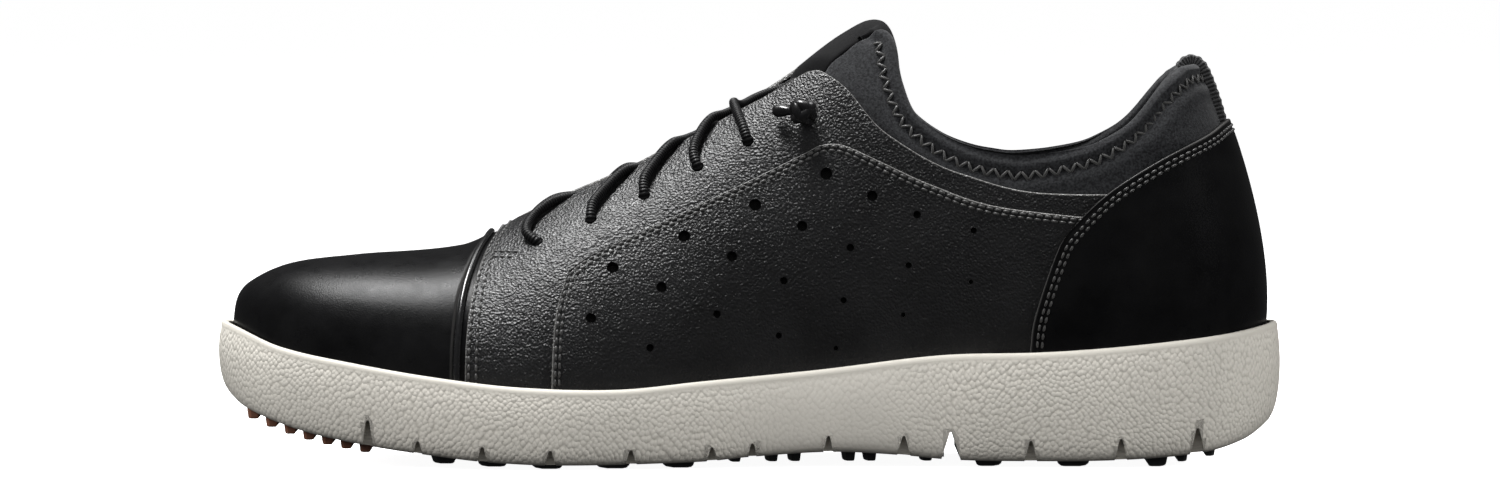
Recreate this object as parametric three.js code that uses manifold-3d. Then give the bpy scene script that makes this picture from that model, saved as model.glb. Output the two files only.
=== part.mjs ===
// Spikeless golf shoe, right foot, men's US 10. Millimetres, +Z up, toe at -X, heel at +X.
// The inner (medial) side of the foot is at -Y. The tread stands on Z = 0.
import * as THREE from 'three';
import { mergeVertices } from 'three/addons/utils/BufferGeometryUtils.js';
import Module from 'manifold-3d';

const wasm = await Module();
wasm.setup();

// ---------------------------------------------------------------- driving sizes

const TOE_TIP_X = -148;
const HEEL_TIP_X = 144.3;
const PLAN_MIDDLE = (TOE_TIP_X + HEEL_TIP_X) / 2;
const PLAN_HALF = (HEEL_TIP_X - TOE_TIP_X) / 2;
const FAN_START_X = 60;
const STATIONS = 22;
const RINGS = 6;
const GAP = 0.3;
const FEATHER_DEPTH = 5;
const SIDES = { medial: -1, lateral: 1 };

// Each layer of the upper lies between two distances from the base surface, outward positive.
const LEATHER = [-1.2, 0];
const OVERLAY = [0.3, 1.5];
const HEEL_OVERLAY = [1.8, 3.0];
const STIFFENER = [-2.3, -1.5];
const LINING = [-3.4, -2.6];
const NEOPRENE = [-5.4, -2.6];
const TONGUE = [-9.4, -6.6];
const LACE_UNDER = -4.45;

const LACE_DIAMETER = 2.8;
const EYELET_DIAMETER = 4.4;
const PIPING_RADIUS = 0.85;
const KNOT_DIAMETER = 7;
const KNOT_STANDOFF = 1.7;
const KNOT_TAIL = 7;
const TONGUE_HINGE_Z = 112.5;
const HINGE_CLEARANCE = 1.2;
const HEEL_TAB_HALF_WIDTH = 6.5;

// ---------------------------------------------------------------- curves

// A smooth function through (x, value) knots: cubic Hermite with slopes from the neighbours.
function profile(knots) {
  const last = knots.length - 1;
  const slope = (i) => {
    const a = knots[Math.max(i - 1, 0)];
    const b = knots[Math.min(i + 1, last)];
    return (b[1] - a[1]) / (b[0] - a[0]);
  };
  return (x) => {
    if (x <= knots[0][0]) return knots[0][1];
    if (x >= knots[last][0]) return knots[last][1];
    const i = knots.findIndex((k) => k[0] > x) - 1;
    const [x0, y0] = knots[i];
    const [x1, y1] = knots[i + 1];
    const h = x1 - x0;
    const s = (x - x0) / h;
    const s2 = s * s;
    const s3 = s2 * s;
    return (2 * s3 - 3 * s2 + 1) * y0 + (s3 - 2 * s2 + s) * h * slope(i)
      + (3 * s2 - 2 * s3) * y1 + (s3 - s2) * h * slope(i + 1);
  };
}

// Points along a smooth curve through a few outline points.
function smooth(points, stepsEach = 3) {
  const curve = new THREE.SplineCurve(points.map(([x, y]) => new THREE.Vector2(x, y)));
  return curve.getPoints((points.length - 1) * stepsEach).map((p) => [p.x, p.y]);
}

// ---------------------------------------------------------------- the lasted upper surface

// Plan of the upper: the angle along the shoe runs from 0 at the toe tip to pi at the heel tip.
const xAtAngle = (angle) => PLAN_MIDDLE - PLAN_HALF * Math.cos(angle);
const angleAtX = (x) => Math.acos(Math.min(1, Math.max(-1, (PLAN_MIDDLE - x) / PLAN_HALF)));

// Centre line of the plan, which leans to the big toe.
const centreY = profile([[-148, -7], [-110, -5], [-60, -1], [0, 1], [50, 1.5], [100, 0], [144.3, 0]]);

// Fullness of each side: its half width divided by that of the plan's ellipse.
const fullness = {
  medial: profile([[-148, 64], [-115, 57], [-85, 54.8], [-55, 53.1], [-20, 43.5], [15, 36], [50, 35.5],
    [85, 43], [115, 56], [130, 67], [144.3, 72]]),
  lateral: profile([[-148, 62], [-115, 58], [-85, 55.2], [-55, 54.2], [-20, 48.8], [15, 44], [50, 41.5],
    [85, 46], [115, 57], [130, 67], [144.3, 72]]),
};

// Side view: the rim of the midsole, and the ridge that the base surface closes along.
const rimHeight = profile([[-152, 41.2], [-146.8, 39.6], [-133, 34.1], [-111.8, 29.8], [-88.9, 26.1],
  [-66, 23.5], [-37, 22.7], [-14.3, 24.7], [20, 27.8], [54.5, 31.8], [83, 32.7], [106, 34.4],
  [134.8, 37.6], [152, 40.6]]);
const featherHeight = (x) => rimHeight(x) - FEATHER_DEPTH;

const ridgeKnots = [[TOE_TIP_X, 35], [-147.3, 45], [-145.7, 49.3], [-142.2, 52.5], [-131, 57.3],
  [-112, 59.7], [-83, 62.2], [-72, 67], [-58, 75.2], [-30, 88.5], [3, 109], [25, 125.5], [50, 137.5],
  [102, 145]];
const ridgeByRoot = profile(ridgeKnots.map(([x, z]) => [Math.sqrt(x - TOE_TIP_X), z]));
const ridgeHeight = (x) => ridgeByRoot(Math.sqrt(Math.max(0, x - TOE_TIP_X)));

// Handles of each cross-section: outward bulge and rise of the wall, and spread of the top.
const bulge = profile([[-148, 0.05], [-60, 0.04], [0, 0.03], [60, 0.035], [144.3, 0.0735]]);
const rise = profile([[-148, 0.62], [-90, 0.55], [-60, 0.45], [0, 0.42], [60, 0.36], [144.3, 0.303]]);
const spread = profile([[-148, 0.6], [-90, 0.6], [-60, 0.58], [0, 0.64], [40, 0.66], [90, 0.72],
  [144.3, 0.433]]);

// The ridge runs level with the wall up to the ankle, then slows so that the sections fan round the heel.
function ridgeX(x) {
  if (x <= FAN_START_X) return x;
  const run = HEEL_TIP_X - FAN_START_X;
  const q = (x - FAN_START_X) / run;
  return FAN_START_X + run * (q - q * q / 2);
}

// A point on the base surface: the angle along the shoe, and t from 0 at the feather line to 1 at the
// ridge.
function basePoint(side, angle, t) {
  const x = xAtAngle(angle);
  const half = fullness[side](x) * Math.sin(angle);
  const foot = new THREE.Vector3(x, centreY(x) + SIDES[side] * half, featherHeight(x));
  const topX = ridgeX(x);
  const top = new THREE.Vector3(topX, centreY(topX), ridgeHeight(topX));
  const height = Math.max(0, top.z - foot.z);
  const level = new THREE.Vector3(foot.x - top.x, foot.y - top.y, 0);
  const outward = level.lengthSq() > 0 ? level.clone().normalize() : new THREE.Vector3(0, SIDES[side], 0);
  const wall = foot.clone().addScaledVector(outward, bulge(x) * height);
  wall.z += rise(x) * height;
  const brow = top.clone().addScaledVector(level, spread(x));
  const s = 1 - t;
  return foot.multiplyScalar(s * s * s)
    .addScaledVector(wall, 3 * s * s * t)
    .addScaledVector(brow, 3 * s * t * t)
    .addScaledVector(top, t * t * t);
}

const STEP = 1e-3;

// The outward normal of the base surface.
function baseNormal(side, angle, t) {
  if (angle < STEP) return new THREE.Vector3(-1, 0, 0);
  if (t > 1 - STEP) {
    const x = ridgeX(xAtAngle(angle));
    const slope = (ridgeHeight(x + 0.5) - ridgeHeight(x - 0.5));
    return new THREE.Vector3(-slope, 0, 1).normalize();
  }
  const a0 = Math.max(angle - STEP, STEP / 2);
  const a1 = Math.min(angle + STEP, Math.PI);
  const t0 = Math.max(t - STEP, 0);
  const along = basePoint(side, a1, t).sub(basePoint(side, a0, t));
  const up = basePoint(side, angle, t + STEP).sub(basePoint(side, angle, t0));
  const normal = along.cross(up).normalize().multiplyScalar(-SIDES[side]);
  if (angle > Math.PI - STEP) normal.y = 0;
  return normal.normalize();
}

function upperPoint(side, angle, t, distance) {
  return basePoint(side, angle, t).addScaledVector(baseNormal(side, angle, t), distance);
}

// The surface point that lies at a place in side view, ahead of the fan.
function onSide(side, x, z, distance) {
  const angle = angleAtX(x);
  let low = 0;
  let high = 1;
  for (let k = 0; k < 30; k += 1) {
    const t = (low + high) / 2;
    if (basePoint(side, angle, t).z < z) low = t;
    else high = t;
  }
  return upperPoint(side, angle, low, distance);
}

// The surface point that lies at a place in plan, ahead of the fan.
function onTop(x, y, distance) {
  const side = y < centreY(x) ? 'medial' : 'lateral';
  const angle = angleAtX(x);
  let low = 0;
  let high = 1;
  for (let k = 0; k < 30; k += 1) {
    const t = (low + high) / 2;
    if (Math.abs(basePoint(side, angle, t).y - centreY(x)) > Math.abs(y - centreY(x))) low = t;
    else high = t;
  }
  return upperPoint(side, angle, low, distance);
}

// ---------------------------------------------------------------- solids

function indexed(points, triangles) {
  const geometry = new THREE.BufferGeometry();
  const numbers = points.flatMap((p) => [p.x, p.y, p.z]);
  geometry.setAttribute('position', new THREE.Float32BufferAttribute(numbers, 3));
  geometry.setIndex(triangles.flat());
  return geometry;
}

function toSolid(geometry) {
  const bare = geometry.clone();
  bare.deleteAttribute('normal');
  bare.deleteAttribute('uv');
  const merged = mergeVertices(bare, 1e-4);
  return new wasm.Manifold(new wasm.Mesh({
    numProp: 3,
    vertProperties: new Float32Array(merged.attributes.position.array),
    triVerts: new Uint32Array(merged.index.array),
  }));
}

// The largest piece of a solid, without the slivers that a cut can leave.
function largest(solid) {
  return solid.decompose().reduce((a, b) => (b.volume() > a.volume() ? b : a));
}

function toGeometry(solid) {
  const mesh = largest(solid).getMesh();
  const geometry = new THREE.BufferGeometry();
  const numbers = Float32Array.from(mesh.vertProperties);
  geometry.setAttribute('position', new THREE.Float32BufferAttribute(numbers, 3));
  geometry.setIndex(Array.from(mesh.triVerts));
  return geometry;
}

// The loop of stations round the plan: toe tip, medial side, heel tip, lateral side.
function stationLoop() {
  const loop = [];
  for (let i = 0; i <= STATIONS; i += 1) loop.push({ side: 'medial', angle: Math.PI * i / STATIONS });
  for (let i = STATIONS - 1; i > 0; i -= 1) loop.push({ side: 'lateral', angle: Math.PI * i / STATIONS });
  return loop;
}

const LOOP = stationLoop();

// A shell of the whole upper between two distances from the base surface, open at the bottom.
function shell([inner, outer]) {
  const points = [];
  const triangles = [];
  const skin = (distance, flip) => {
    const start = points.length;
    const pole = start;
    points.push(upperPoint('medial', 0, 0, distance));
    const ids = LOOP.map(({ side, angle }, k) => {
      const i = k <= STATIONS ? k : 2 * STATIONS - k;
      if (i === 0) return Array(RINGS + 1).fill(pole);
      const column = [];
      for (let j = 0; j < RINGS; j += 1) {
        column.push(points.length);
        points.push(upperPoint(side, angle, j / RINGS, distance));
      }
      return column;
    });
    const ridge = [pole];
    for (let i = 1; i <= STATIONS; i += 1) {
      ridge.push(points.length);
      points.push(upperPoint('medial', Math.PI * i / STATIONS, 1, distance));
    }
    ids.forEach((column, k) => {
      const i = k <= STATIONS ? k : 2 * STATIONS - k;
      if (i > 0) column.push(ridge[i]);
    });
    for (let k = 0; k < LOOP.length; k += 1) {
      const a = ids[k];
      const b = ids[(k + 1) % LOOP.length];
      for (let j = 0; j < RINGS; j += 1) {
        for (const face of [[a[j], b[j], b[j + 1]], [a[j], b[j + 1], a[j + 1]]]) {
          if (new Set(face).size === 3) triangles.push(flip ? face.reverse() : face);
        }
      }
    }
    return ids.map((column) => column[0]);
  };
  const outerRim = skin(outer, false);
  const innerRim = skin(inner, true);
  for (let k = 0; k < outerRim.length; k += 1) {
    const n = (k + 1) % outerRim.length;
    triangles.push([outerRim[k], innerRim[n], outerRim[n]], [outerRim[k], innerRim[k], innerRim[n]]);
  }
  return toSolid(indexed(points, triangles));
}

// A prism of a side-view outline, between two places across the shoe.
function sidePrism(outline, yFrom = -100, yTo = 100) {
  const shape = new THREE.Shape(outline.map(([x, z]) => new THREE.Vector2(x, z)));
  const geometry = new THREE.ExtrudeGeometry(shape, { depth: yTo - yFrom, bevelEnabled: false });
  geometry.rotateX(Math.PI / 2);
  geometry.translate(0, yTo, 0);
  return toSolid(geometry);
}

// A prism of a plan outline, between two heights.
function planPrism(outline, zFrom, zTo) {
  const shape = new THREE.Shape(outline.map(([x, y]) => new THREE.Vector2(x, y)));
  const geometry = new THREE.ExtrudeGeometry(shape, { depth: zTo - zFrom, bevelEnabled: false });
  geometry.translate(0, 0, zFrom);
  return toSolid(geometry);
}

// Everything on one side of the shoe's centre line, kept clear of the other side's half.
function sideHalf(side) {
  const edge = [];
  for (let x = -160; x <= 160; x += 20) edge.push([x, centreY(x) + SIDES[side] * GAP / 2]);
  const far = SIDES[side] * 120;
  return planPrism([...edge, [160, far], [-160, far]], -10, 200);
}

// A round cord or rod along points.
function rod(points, radius, steps, sides = 8) {
  const shape = new THREE.Shape();
  for (let k = 0; k < sides; k += 1) {
    const a = 2 * Math.PI * k / sides;
    if (k === 0) shape.moveTo(radius, 0);
    else shape.lineTo(radius * Math.cos(a), radius * Math.sin(a));
  }
  const path = new THREE.CatmullRomCurve3(points, false, 'centripetal');
  return new THREE.ExtrudeGeometry(shape, { steps, extrudePath: path, bevelEnabled: false });
}

// ---------------------------------------------------------------- side-view edges of the panels

// The toe cap seam gives its place along the shoe by t; the other edges are outlines of (x, z) points.
const seamX = profile([[0, -83.5], [0.25, -83.2], [0.5, -81.7], [0.75, -78.4], [0.9, -75.6], [1, -74.6],
  [1.1, -75.6]]);
const FACING_TOP = [[4, 125], [12, 118], [16.4, 113.6], [20.4, 112.4], [27.5, 107.4],
  [35.3, 97.9], [41.7, 92.8], [51.3, 87], [60.8, 83.2], [79.7, 78.3], [108, 77.6]];
const QUARTER_EDGE = [[-56.2, 10], [-55.4, 39.3], [-52.8, 52.2], [-50.5, 56.8], [-43, 61.7], [-28.4, 68.3],
  [0.9, 82], [15.5, 89.2], [20.1, 91.5], [25, 91.8], [30.1, 90.1], [37.6, 86.6], [52.2, 80], [71.1, 74],
  [108, 70]];
const HEEL_EDGE = [[78, 15], [79.4, 34.1], [80.9, 43.6], [86.3, 59.7], [90.3, 66.8], [101.2, 77.7],
  [116.2, 87.2], [130.8, 94.4], [137.4, 98.4], [150, 103]];
const TOPLINE = [[30.5, 125.6], [33.8, 126.8], [38.1, 126.8], [41.6, 122.5], [43, 112], [46.2, 102.1],
  [50.3, 97.4], [57.6, 92.3], [65, 89.3], [72.3, 87.8], [79.6, 87.5], [94.2, 90.4], [101.5, 93.7],
  [108.9, 98.9], [116.2, 107.6], [119.9, 111.3], [123.5, 113.1], [140, 113.5]];
const BOOTIE_BOTTOM = [[-50, 42], [-20, 48], [20, 58], [50, 61], [80, 60], [110, 64], [160, 76]];
const TONGUE_EDGE = [[-66, 47], [-45, 54], [-20, 62], [0, 71], [13, 82], [19.5, 96], [20.9, 112],
  [37.1, 124.1]];

const shifted = (line, dx, dz) => line.map(([x, z]) => [x + dx, z + dz]);
const LOW = -10;
const HIGH = 170;

// The region behind a front edge that rises toward the heel, down to the sole.
const below = (edge, rearX) => [...smooth(edge), [rearX, edge.at(-1)[1]], [rearX, LOW], [edge[0][0], LOW]];

// ---------------------------------------------------------------- upper

function throatCut() {
  const base = [-66.5, centreY(-66)];
  const outline = [];
  const halfWidth = profile([[-66, 7], [-45, 9.5], [0, 12], [30, 15]]);
  for (let x = 40; x >= -60; x -= 10) outline.push([x, centreY(x) - halfWidth(x)]);
  outline.push([base[0] + 2, base[1] - 4.5], [base[0], base[1]], [base[0] + 2, base[1] + 4.5]);
  for (let x = -60; x <= 40; x += 10) outline.push([x, centreY(x) + halfWidth(x)]);
  return planPrism(outline, 40, HIGH);
}

const EYELETS = [[-60.5, 64], [-45.3, 70.3], [-30.1, 77.1], [-14.9, 85.2], [-0.6, 92.4], [16, 98.8]];

// The rods that punch the eyelets through facing and interlining, square to the surface.
function eyeletCuts() {
  let cuts = null;
  for (const side of Object.keys(SIDES)) {
    for (const [x, z] of EYELETS) {
      const ends = [onSide(side, x, z, -4), onSide(side, x, z, 4)];
      const hole = toSolid(rod(ends, EYELET_DIAMETER / 2, 1));
      cuts = cuts ? cuts.add(hole) : hole;
    }
  }
  return cuts;
}

const holes = eyeletCuts();
const halves = { medial: sideHalf('medial'), lateral: sideHalf('lateral') };
const leatherShell = shell(LEATHER);
const overlayShell = shell(OVERLAY);
const stiffenerShell = shell(STIFFENER);
const liningShell = shell(LINING);
const neopreneShell = shell(NEOPRENE);
const SEAM_HALF = 1.9;
const SEAM_STEPS = 12;

// Points of the toe cap seam, from the feather line over the top and down the other side.
function seamPoints(distance, count) {
  const run = (side, k) => {
    const t = k / (count + 0.5);
    return upperPoint(side, angleAtX(seamX(t)), t, distance);
  };
  const ks = Array.from({ length: count + 1 }, (_, k) => k);
  return [...ks.map((k) => run('medial', k)), ...ks.reverse().map((k) => run('lateral', k))];
}

// All the space ahead of the toe cap seam, moved back or forward by a distance.
function aheadOfSeam(shift) {
  const axis = new THREE.Vector2(centreY(-80), 32);
  const reach = 120;
  const seam = seamPoints(0, SEAM_STEPS);
  const under = seam[0].clone().setZ(0).setY(centreY(-80));
  const ring = [...seam, under];
  const points = [];
  const at = (p, radius, x) => {
    const way = new THREE.Vector2(p.y, p.z).sub(axis).normalize().multiplyScalar(radius);
    return points.push(new THREE.Vector3(x, axis.x + way.x, axis.y + way.y)) - 1;
  };
  const inner = ring.map((p) => at(p, 1, p.x + shift));
  const outer = ring.map((p) => at(p, reach, p.x + shift));
  const front = ring.map((p) => at(p, reach, -220));
  const middle = points.push(new THREE.Vector3(seamX(0) + shift, axis.x, axis.y)) - 1;
  const nose = points.push(new THREE.Vector3(-220, axis.x, axis.y)) - 1;
  const triangles = [];
  for (let k = 0; k < ring.length; k += 1) {
    const n = (k + 1) % ring.length;
    triangles.push(
      [middle, inner[n], inner[k]],
      [inner[k], inner[n], outer[n]],
      [inner[k], outer[n], outer[k]],
      [outer[k], outer[n], front[n]],
      [outer[k], front[n], front[k]],
      [front[k], front[n], nose],
    );
  }
  return toSolid(indexed(points, triangles));
}

function toeCap() {
  return leatherShell.intersect(aheadOfSeam(-SEAM_HALF));
}

function toePuff() {
  return stiffenerShell.intersect(sidePrism([[-95, LOW], [-95, 80], [-160, 80], [-160, LOW]]));
}

function vamp() {
  const lowerEdge = shifted(QUARTER_EDGE.slice(1, -1), 9, -9).reverse();
  const outline = [[-100, LOW], [-100, 110], ...smooth(FACING_TOP, 2), [108, 62], [80, 60],
    ...smooth(lowerEdge, 2), [-46, LOW]];
  return leatherShell.intersect(sidePrism(outline)).subtract(aheadOfSeam(SEAM_HALF))
    .subtract(throatCut()).subtract(holes).subtract(laceRoom);
}

function toePiping() {
  return rod(seamPoints(0, SEAM_STEPS).slice(1, -1), PIPING_RADIUS, 36, 6);
}

function quarter(side) {
  return overlayShell.intersect(sidePrism(below(QUARTER_EDGE, 108))).intersect(halves[side]);
}

function heelPanel() {
  return shell(HEEL_OVERLAY).intersect(sidePrism(below(HEEL_EDGE, 160)));
}

function heelCounter() {
  const outline = [[112, LOW], [112, 80], [120, 87], [137, 92], [160, 94], [160, LOW]];
  return leatherShell.intersect(sidePrism(outline));
}

function interlining(side) {
  const outline = [[-55, LOW], [-55, 62], [-66, 66], [-66, 80], ...smooth(shifted(FACING_TOP, 0.5, -2), 2),
    [108, LOW]];
  return stiffenerShell.intersect(sidePrism(outline)).intersect(halves[side])
    .subtract(throatCut()).subtract(holes).subtract(laceRoom);
}

function vampLining() {
  return liningShell.intersect(sidePrism([[-70, LOW], [-70, 90], [-160, 90], [-160, LOW]]));
}

function quarterLining(side) {
  const top = shifted(smooth(BOOTIE_BOTTOM), 0, -GAP);
  const outline = [[-69.5, LOW], [-69.5, 46], ...top, [160, LOW]];
  return liningShell.intersect(sidePrism(outline)).intersect(halves[side]);
}

function bootieCollar() {
  const front = smooth(shifted(TONGUE_EDGE, GAP, -GAP).slice(1), 2);
  const top = smooth(TOPLINE).filter(([x]) => x > 41);
  const outline = [...front.filter(([x]) => x < 37), [37.4, 123.4], [41, 123.2], ...top,
    [160, 113.5], ...smooth(BOOTIE_BOTTOM).reverse()];
  return neopreneShell.intersect(sidePrism(outline));
}

function tongueRegion() {
  const rear = smooth(TONGUE_EDGE, 2).filter(([x]) => x < 37);
  return [[-69, 90], [-69, 45], [-66, 48], ...rear, [37.2, 123.9], [41, 123.9], [38.1, 126.8], [33.8, 126.8],
    [30.5, 125.6], [20, 140], [-20, 140]];
}

function tonguePanel() {
  const under = sidePrism([[-100, 0], [60, 0], [60, TONGUE_HINGE_Z], [-100, TONGUE_HINGE_Z]]);
  return shell(TONGUE).intersect(sidePrism(tongueRegion())).intersect(under);
}

function tongueTop() {
  const floor = TONGUE_HINGE_Z + HINGE_CLEARANCE;
  return neopreneShell.intersect(sidePrism(tongueRegion()))
    .intersect(sidePrism([[-100, floor], [60, floor], [60, HIGH], [-100, HIGH]]));
}

function heelTab() {
  const width = HEEL_TAB_HALF_WIDTH;
  const band = (layer, low, high) => shell(layer)
    .intersect(sidePrism([[118, low], [160, low], [160, high], [118, high]], -width, width));
  const hook = sidePrism([[131.6, 108.5], [130.4, 113.6], [128.2, 116.2], [126.1, 116.6], [122.4, 114.6],
    [123, 113.9], [126.2, 114.6], [128.2, 111.6], [129.4, 108.5]], -width, width);
  return band([0.3, 1.5], 90, 99).add(band([-2.3, 1.5], 98.8, 109.5)).add(hook);
}

// ---------------------------------------------------------------- lace

// One strand: out of an eyelet, over the facing's edge and the tongue, and down under the other facing.
function strand(side, level) {
  const [x0, z0] = EYELETS[level];
  const [x1, z1] = EYELETS[level + 1];
  const other = side === 'medial' ? 'lateral' : 'medial';
  const from = onSide(side, x0, z0, 0);
  const to = onSide(other, x1, z1, 0);
  const ride = LACE_DIAMETER / 2 + 0.6;
  const lift = side === 'medial' ? 3.1 : 0;
  const at = (f, height) => onTop(from.x + (to.x - from.x) * f, from.y + (to.y - from.y) * f, height);
  return [
    onSide(side, x0, z0, LACE_UNDER + 0.6),
    onSide(side, x0, z0, 0),
    at(0.05, ride),
    at(0.2, ride),
    at(0.36, ride - 1 + lift * 0.6),
    at(0.5, ride - 2.6 + lift),
    at(0.59, lift * 0.3 - 2.4),
    at(0.68, LACE_UNDER + 0.1),
    at(0.76, LACE_UNDER - 0.1),
    at(0.86, LACE_UNDER),
    at(0.95, LACE_UNDER),
  ];
}

function lacePoints() {
  const run = (first) => {
    let side = first;
    const found = [];
    for (let level = 0; level < EYELETS.length - 1; level += 1) {
      found.push(...strand(side, level));
      side = side === 'medial' ? 'lateral' : 'medial';
    }
    const [x, z] = EYELETS.at(-1);
    found.push(onSide(side, x, z, LACE_UNDER + 0.6), onSide(side, x, z, -1), onSide(side, x, z, 1.4));
    return found;
  };
  const [x] = EYELETS[0];
  const bottom = [-12, 0, 12].map((y) => onTop(x, centreY(x) + y, LACE_UNDER));
  return [...run('medial').reverse(), ...bottom, ...run('lateral')];
}

function knot(side) {
  const [x, z] = EYELETS.at(-1);
  const centre = onSide(side, x, z, KNOT_STANDOFF + KNOT_DIAMETER / 2);
  const ball = new THREE.SphereGeometry(KNOT_DIAMETER / 2, 12, 8);
  ball.translate(centre.x, centre.y, centre.z);
  const tailEnd = onSide(side, x - KNOT_TAIL, z + 0.4, 2 * KNOT_STANDOFF);
  const tail = rod([centre, tailEnd], 1.5, 2);
  const bead = new THREE.SphereGeometry(1.9, 8, 6);
  bead.translate(tailEnd.x, tailEnd.y, tailEnd.z);
  return toSolid(ball).add(toSolid(tail)).add(toSolid(bead));
}

// ---------------------------------------------------------------- sole

// The sole's plan grows outward from the upper's plan by a distance that differs along the shoe.
const soleGrowth = profile([[-148, 4], [-110, 4.8], [-60, 5.8], [40, 6.5], [144.3, 7.7]]);
const recessGrowth = profile([[-148, 1.3], [-90, 1.5], [-58, 3], [68, 3], [76, 4.9], [144.3, 5.2]]);
const soleBottom = profile([[-152, 22], [-149.4, 20.5], [-144.3, 17], [-134.2, 12.9], [-122.7, 9.6],
  [-105, 6.3], [-91.8, 4.5], [-75.7, 2.6], [-54.5, 1.6], [-14.3, 2.2], [0, 3.4], [23, 4.6], [43, 3.6],
  [56, 2.4], [72, 2], [105, 2.4], [129, 4.4], [140.5, 7.5], [147, 11], [152, 14]]);

// A point of the plan, moved outward in the plane by a distance.
function planPoint(side, angle, growth) {
  const at = (a) => {
    const x = xAtAngle(a);
    return new THREE.Vector2(x, centreY(x) + SIDES[side] * fullness[side](x) * Math.sin(a));
  };
  const here = at(angle);
  const ahead = at(Math.min(angle + STEP, Math.PI)).sub(at(Math.max(angle - STEP, 0)));
  const outward = new THREE.Vector2(-ahead.y, ahead.x).multiplyScalar(SIDES[side]).normalize();
  if (angle < STEP) outward.set(-1, 0);
  if (angle > Math.PI - STEP) outward.set(1, 0);
  return here.addScaledVector(outward, growth);
}

// A closed solid from a stack of rings; each ring gives a growth and a height by place along the shoe.
function ringStack(rings) {
  const points = [];
  const triangles = [];
  const ids = rings.map(({ growth, height }) => LOOP.map(({ side, angle }) => {
    const x = xAtAngle(angle);
    const p = planPoint(side, angle, growth(x));
    points.push(new THREE.Vector3(p.x, p.y, height(p.x)));
    return points.length - 1;
  }));
  const count = LOOP.length;
  for (let r = 0; r < rings.length - 1; r += 1) {
    for (let k = 0; k < count; k += 1) {
      const n = (k + 1) % count;
      triangles.push([ids[r][k], ids[r + 1][n], ids[r][n]], [ids[r][k], ids[r + 1][k], ids[r + 1][n]]);
    }
  }
  const cap = (ring, flip) => {
    for (let i = 0; i < STATIONS; i += 1) {
      const a = ring[i];
      const b = ring[i + 1];
      const c = ring[(count - i) % count];
      const d = ring[count - i - 1];
      for (const face of [[a, c, b], [b, c, d]]) {
        if (new Set(face).size === 3) triangles.push(flip ? face.reverse() : face);
      }
    }
  };
  cap(ids[0], true);
  cap(ids.at(-1), false);
  return indexed(points, triangles);
}

const constant = (value) => () => value;
const grown = (base, extra) => (x) => base(x) + extra;

// The flex grooves: place along the shoe, height of the root, and width at the ground.
const GROOVES = [[-108, 14.2, 4], [-93.8, 8.5, 4], [-75.5, 7, 4], [-56.3, 6, 4], [-33.6, 6, 4],
  [-10.7, 6.5, 4], [0.7, 7.4, 3], [22.2, 9.3, 4], [43.6, 9.3, 5], [57, 10.4, 6], [79.6, 8, 4],
  [105.1, 8.6, 4], [126.9, 11.5, 5]];
const ROOT_HALF_WIDTH = 0.4;
const FLOOR_DROP = 1.3;
const RECESS_FLOOR = grown(featherHeight, -FLOOR_DROP);
const TREAD_INSET = -9;
const TREAD_DEPTH = 2.4;

function midsole() {
  const body = toSolid(ringStack([
    { growth: recessGrowth, height: RECESS_FLOOR },
    { growth: recessGrowth, height: rimHeight },
    { growth: grown(soleGrowth, -1.6), height: grown(rimHeight, 0.2) },
    { growth: grown(soleGrowth, -0.6), height: grown(rimHeight, -2) },
    { growth: soleGrowth, height: (x) => rimHeight(x) * 0.62 + soleBottom(x) * 0.38 },
    { growth: grown(soleGrowth, -0.8), height: (x) => rimHeight(x) * 0.25 + soleBottom(x) * 0.75 },
    { growth: grown(soleGrowth, -4.2), height: soleBottom },
    { growth: grown(soleGrowth, TREAD_INSET + 1), height: grown(soleBottom, 0.3) },
    { growth: grown(soleGrowth, TREAD_INSET), height: grown(soleBottom, TREAD_DEPTH) },
  ]));
  let cut = body;
  for (const [x, apex, width] of GROOVES) {
    cut = cut.subtract(sidePrism([[x - width / 2, -2], [x + width / 2, -2], [x + ROOT_HALF_WIDTH, apex],
      [x - ROOT_HALF_WIDTH, apex]]));
  }
  return cut;
}

// The flat sheets inside the shoe follow the recess floor.
function insideSheet(growth, low, high) {
  return ringStack([
    { growth: constant(growth), height: grown(featherHeight, high) },
    { growth: constant(growth), height: grown(featherHeight, low) },
  ]);
}

// The tread's plate between two places along the shoe.
function treadPlate(from, to) {
  const plate = toSolid(ringStack([
    { growth: grown(soleGrowth, TREAD_INSET - 0.5), height: grown(soleBottom, TREAD_DEPTH - 2 * GAP) },
    { growth: grown(soleGrowth, TREAD_INSET - 0.5), height: grown(soleBottom, 0.4) },
  ]));
  return plate.intersect(sidePrism([[from, -5], [to, -5], [to, 40], [from, 40]]));
}

const LUG_TAPER = 0.82;
const LUG_ROOT = 1.2;
const LUG_SHARE = 0.72;

// One lug: a short bar across the tread, from the plate down to a given height.
function lug(x, y, length, width, bottom) {
  const half = length / 2;
  const foot = half * LUG_TAPER;
  const top = soleBottom(x) + LUG_ROOT;
  const outline = [[x - foot, bottom], [x + foot, bottom], [x + half, top], [x - half, top]];
  return sidePrism(outline, y - width / 2, y + width / 2);
}

// A row of lugs across the tread: equal bars that leave equal gaps between the two edges.
function lugRow(x, length, bottom, count) {
  const inset = soleGrowth(x) + TREAD_INSET - 2;
  const edges = Object.keys(SIDES).map((side) => planPoint(side, angleAtX(x), inset).y);
  const pitch = (edges[1] - edges[0]) / count;
  const lugs = [];
  for (let k = 0; k < count; k += 1) {
    lugs.push(lug(x, edges[0] + pitch * (k + 0.5), length, pitch * LUG_SHARE, bottom));
  }
  return lugs;
}

function tread(from, to, rows) {
  const lugs = rows.flatMap(({ x, length, bottom, count }) => lugRow(x, length, bottom, count));
  return lugs.reduce((solid, one) => solid.add(one), treadPlate(from, to));
}

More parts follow.
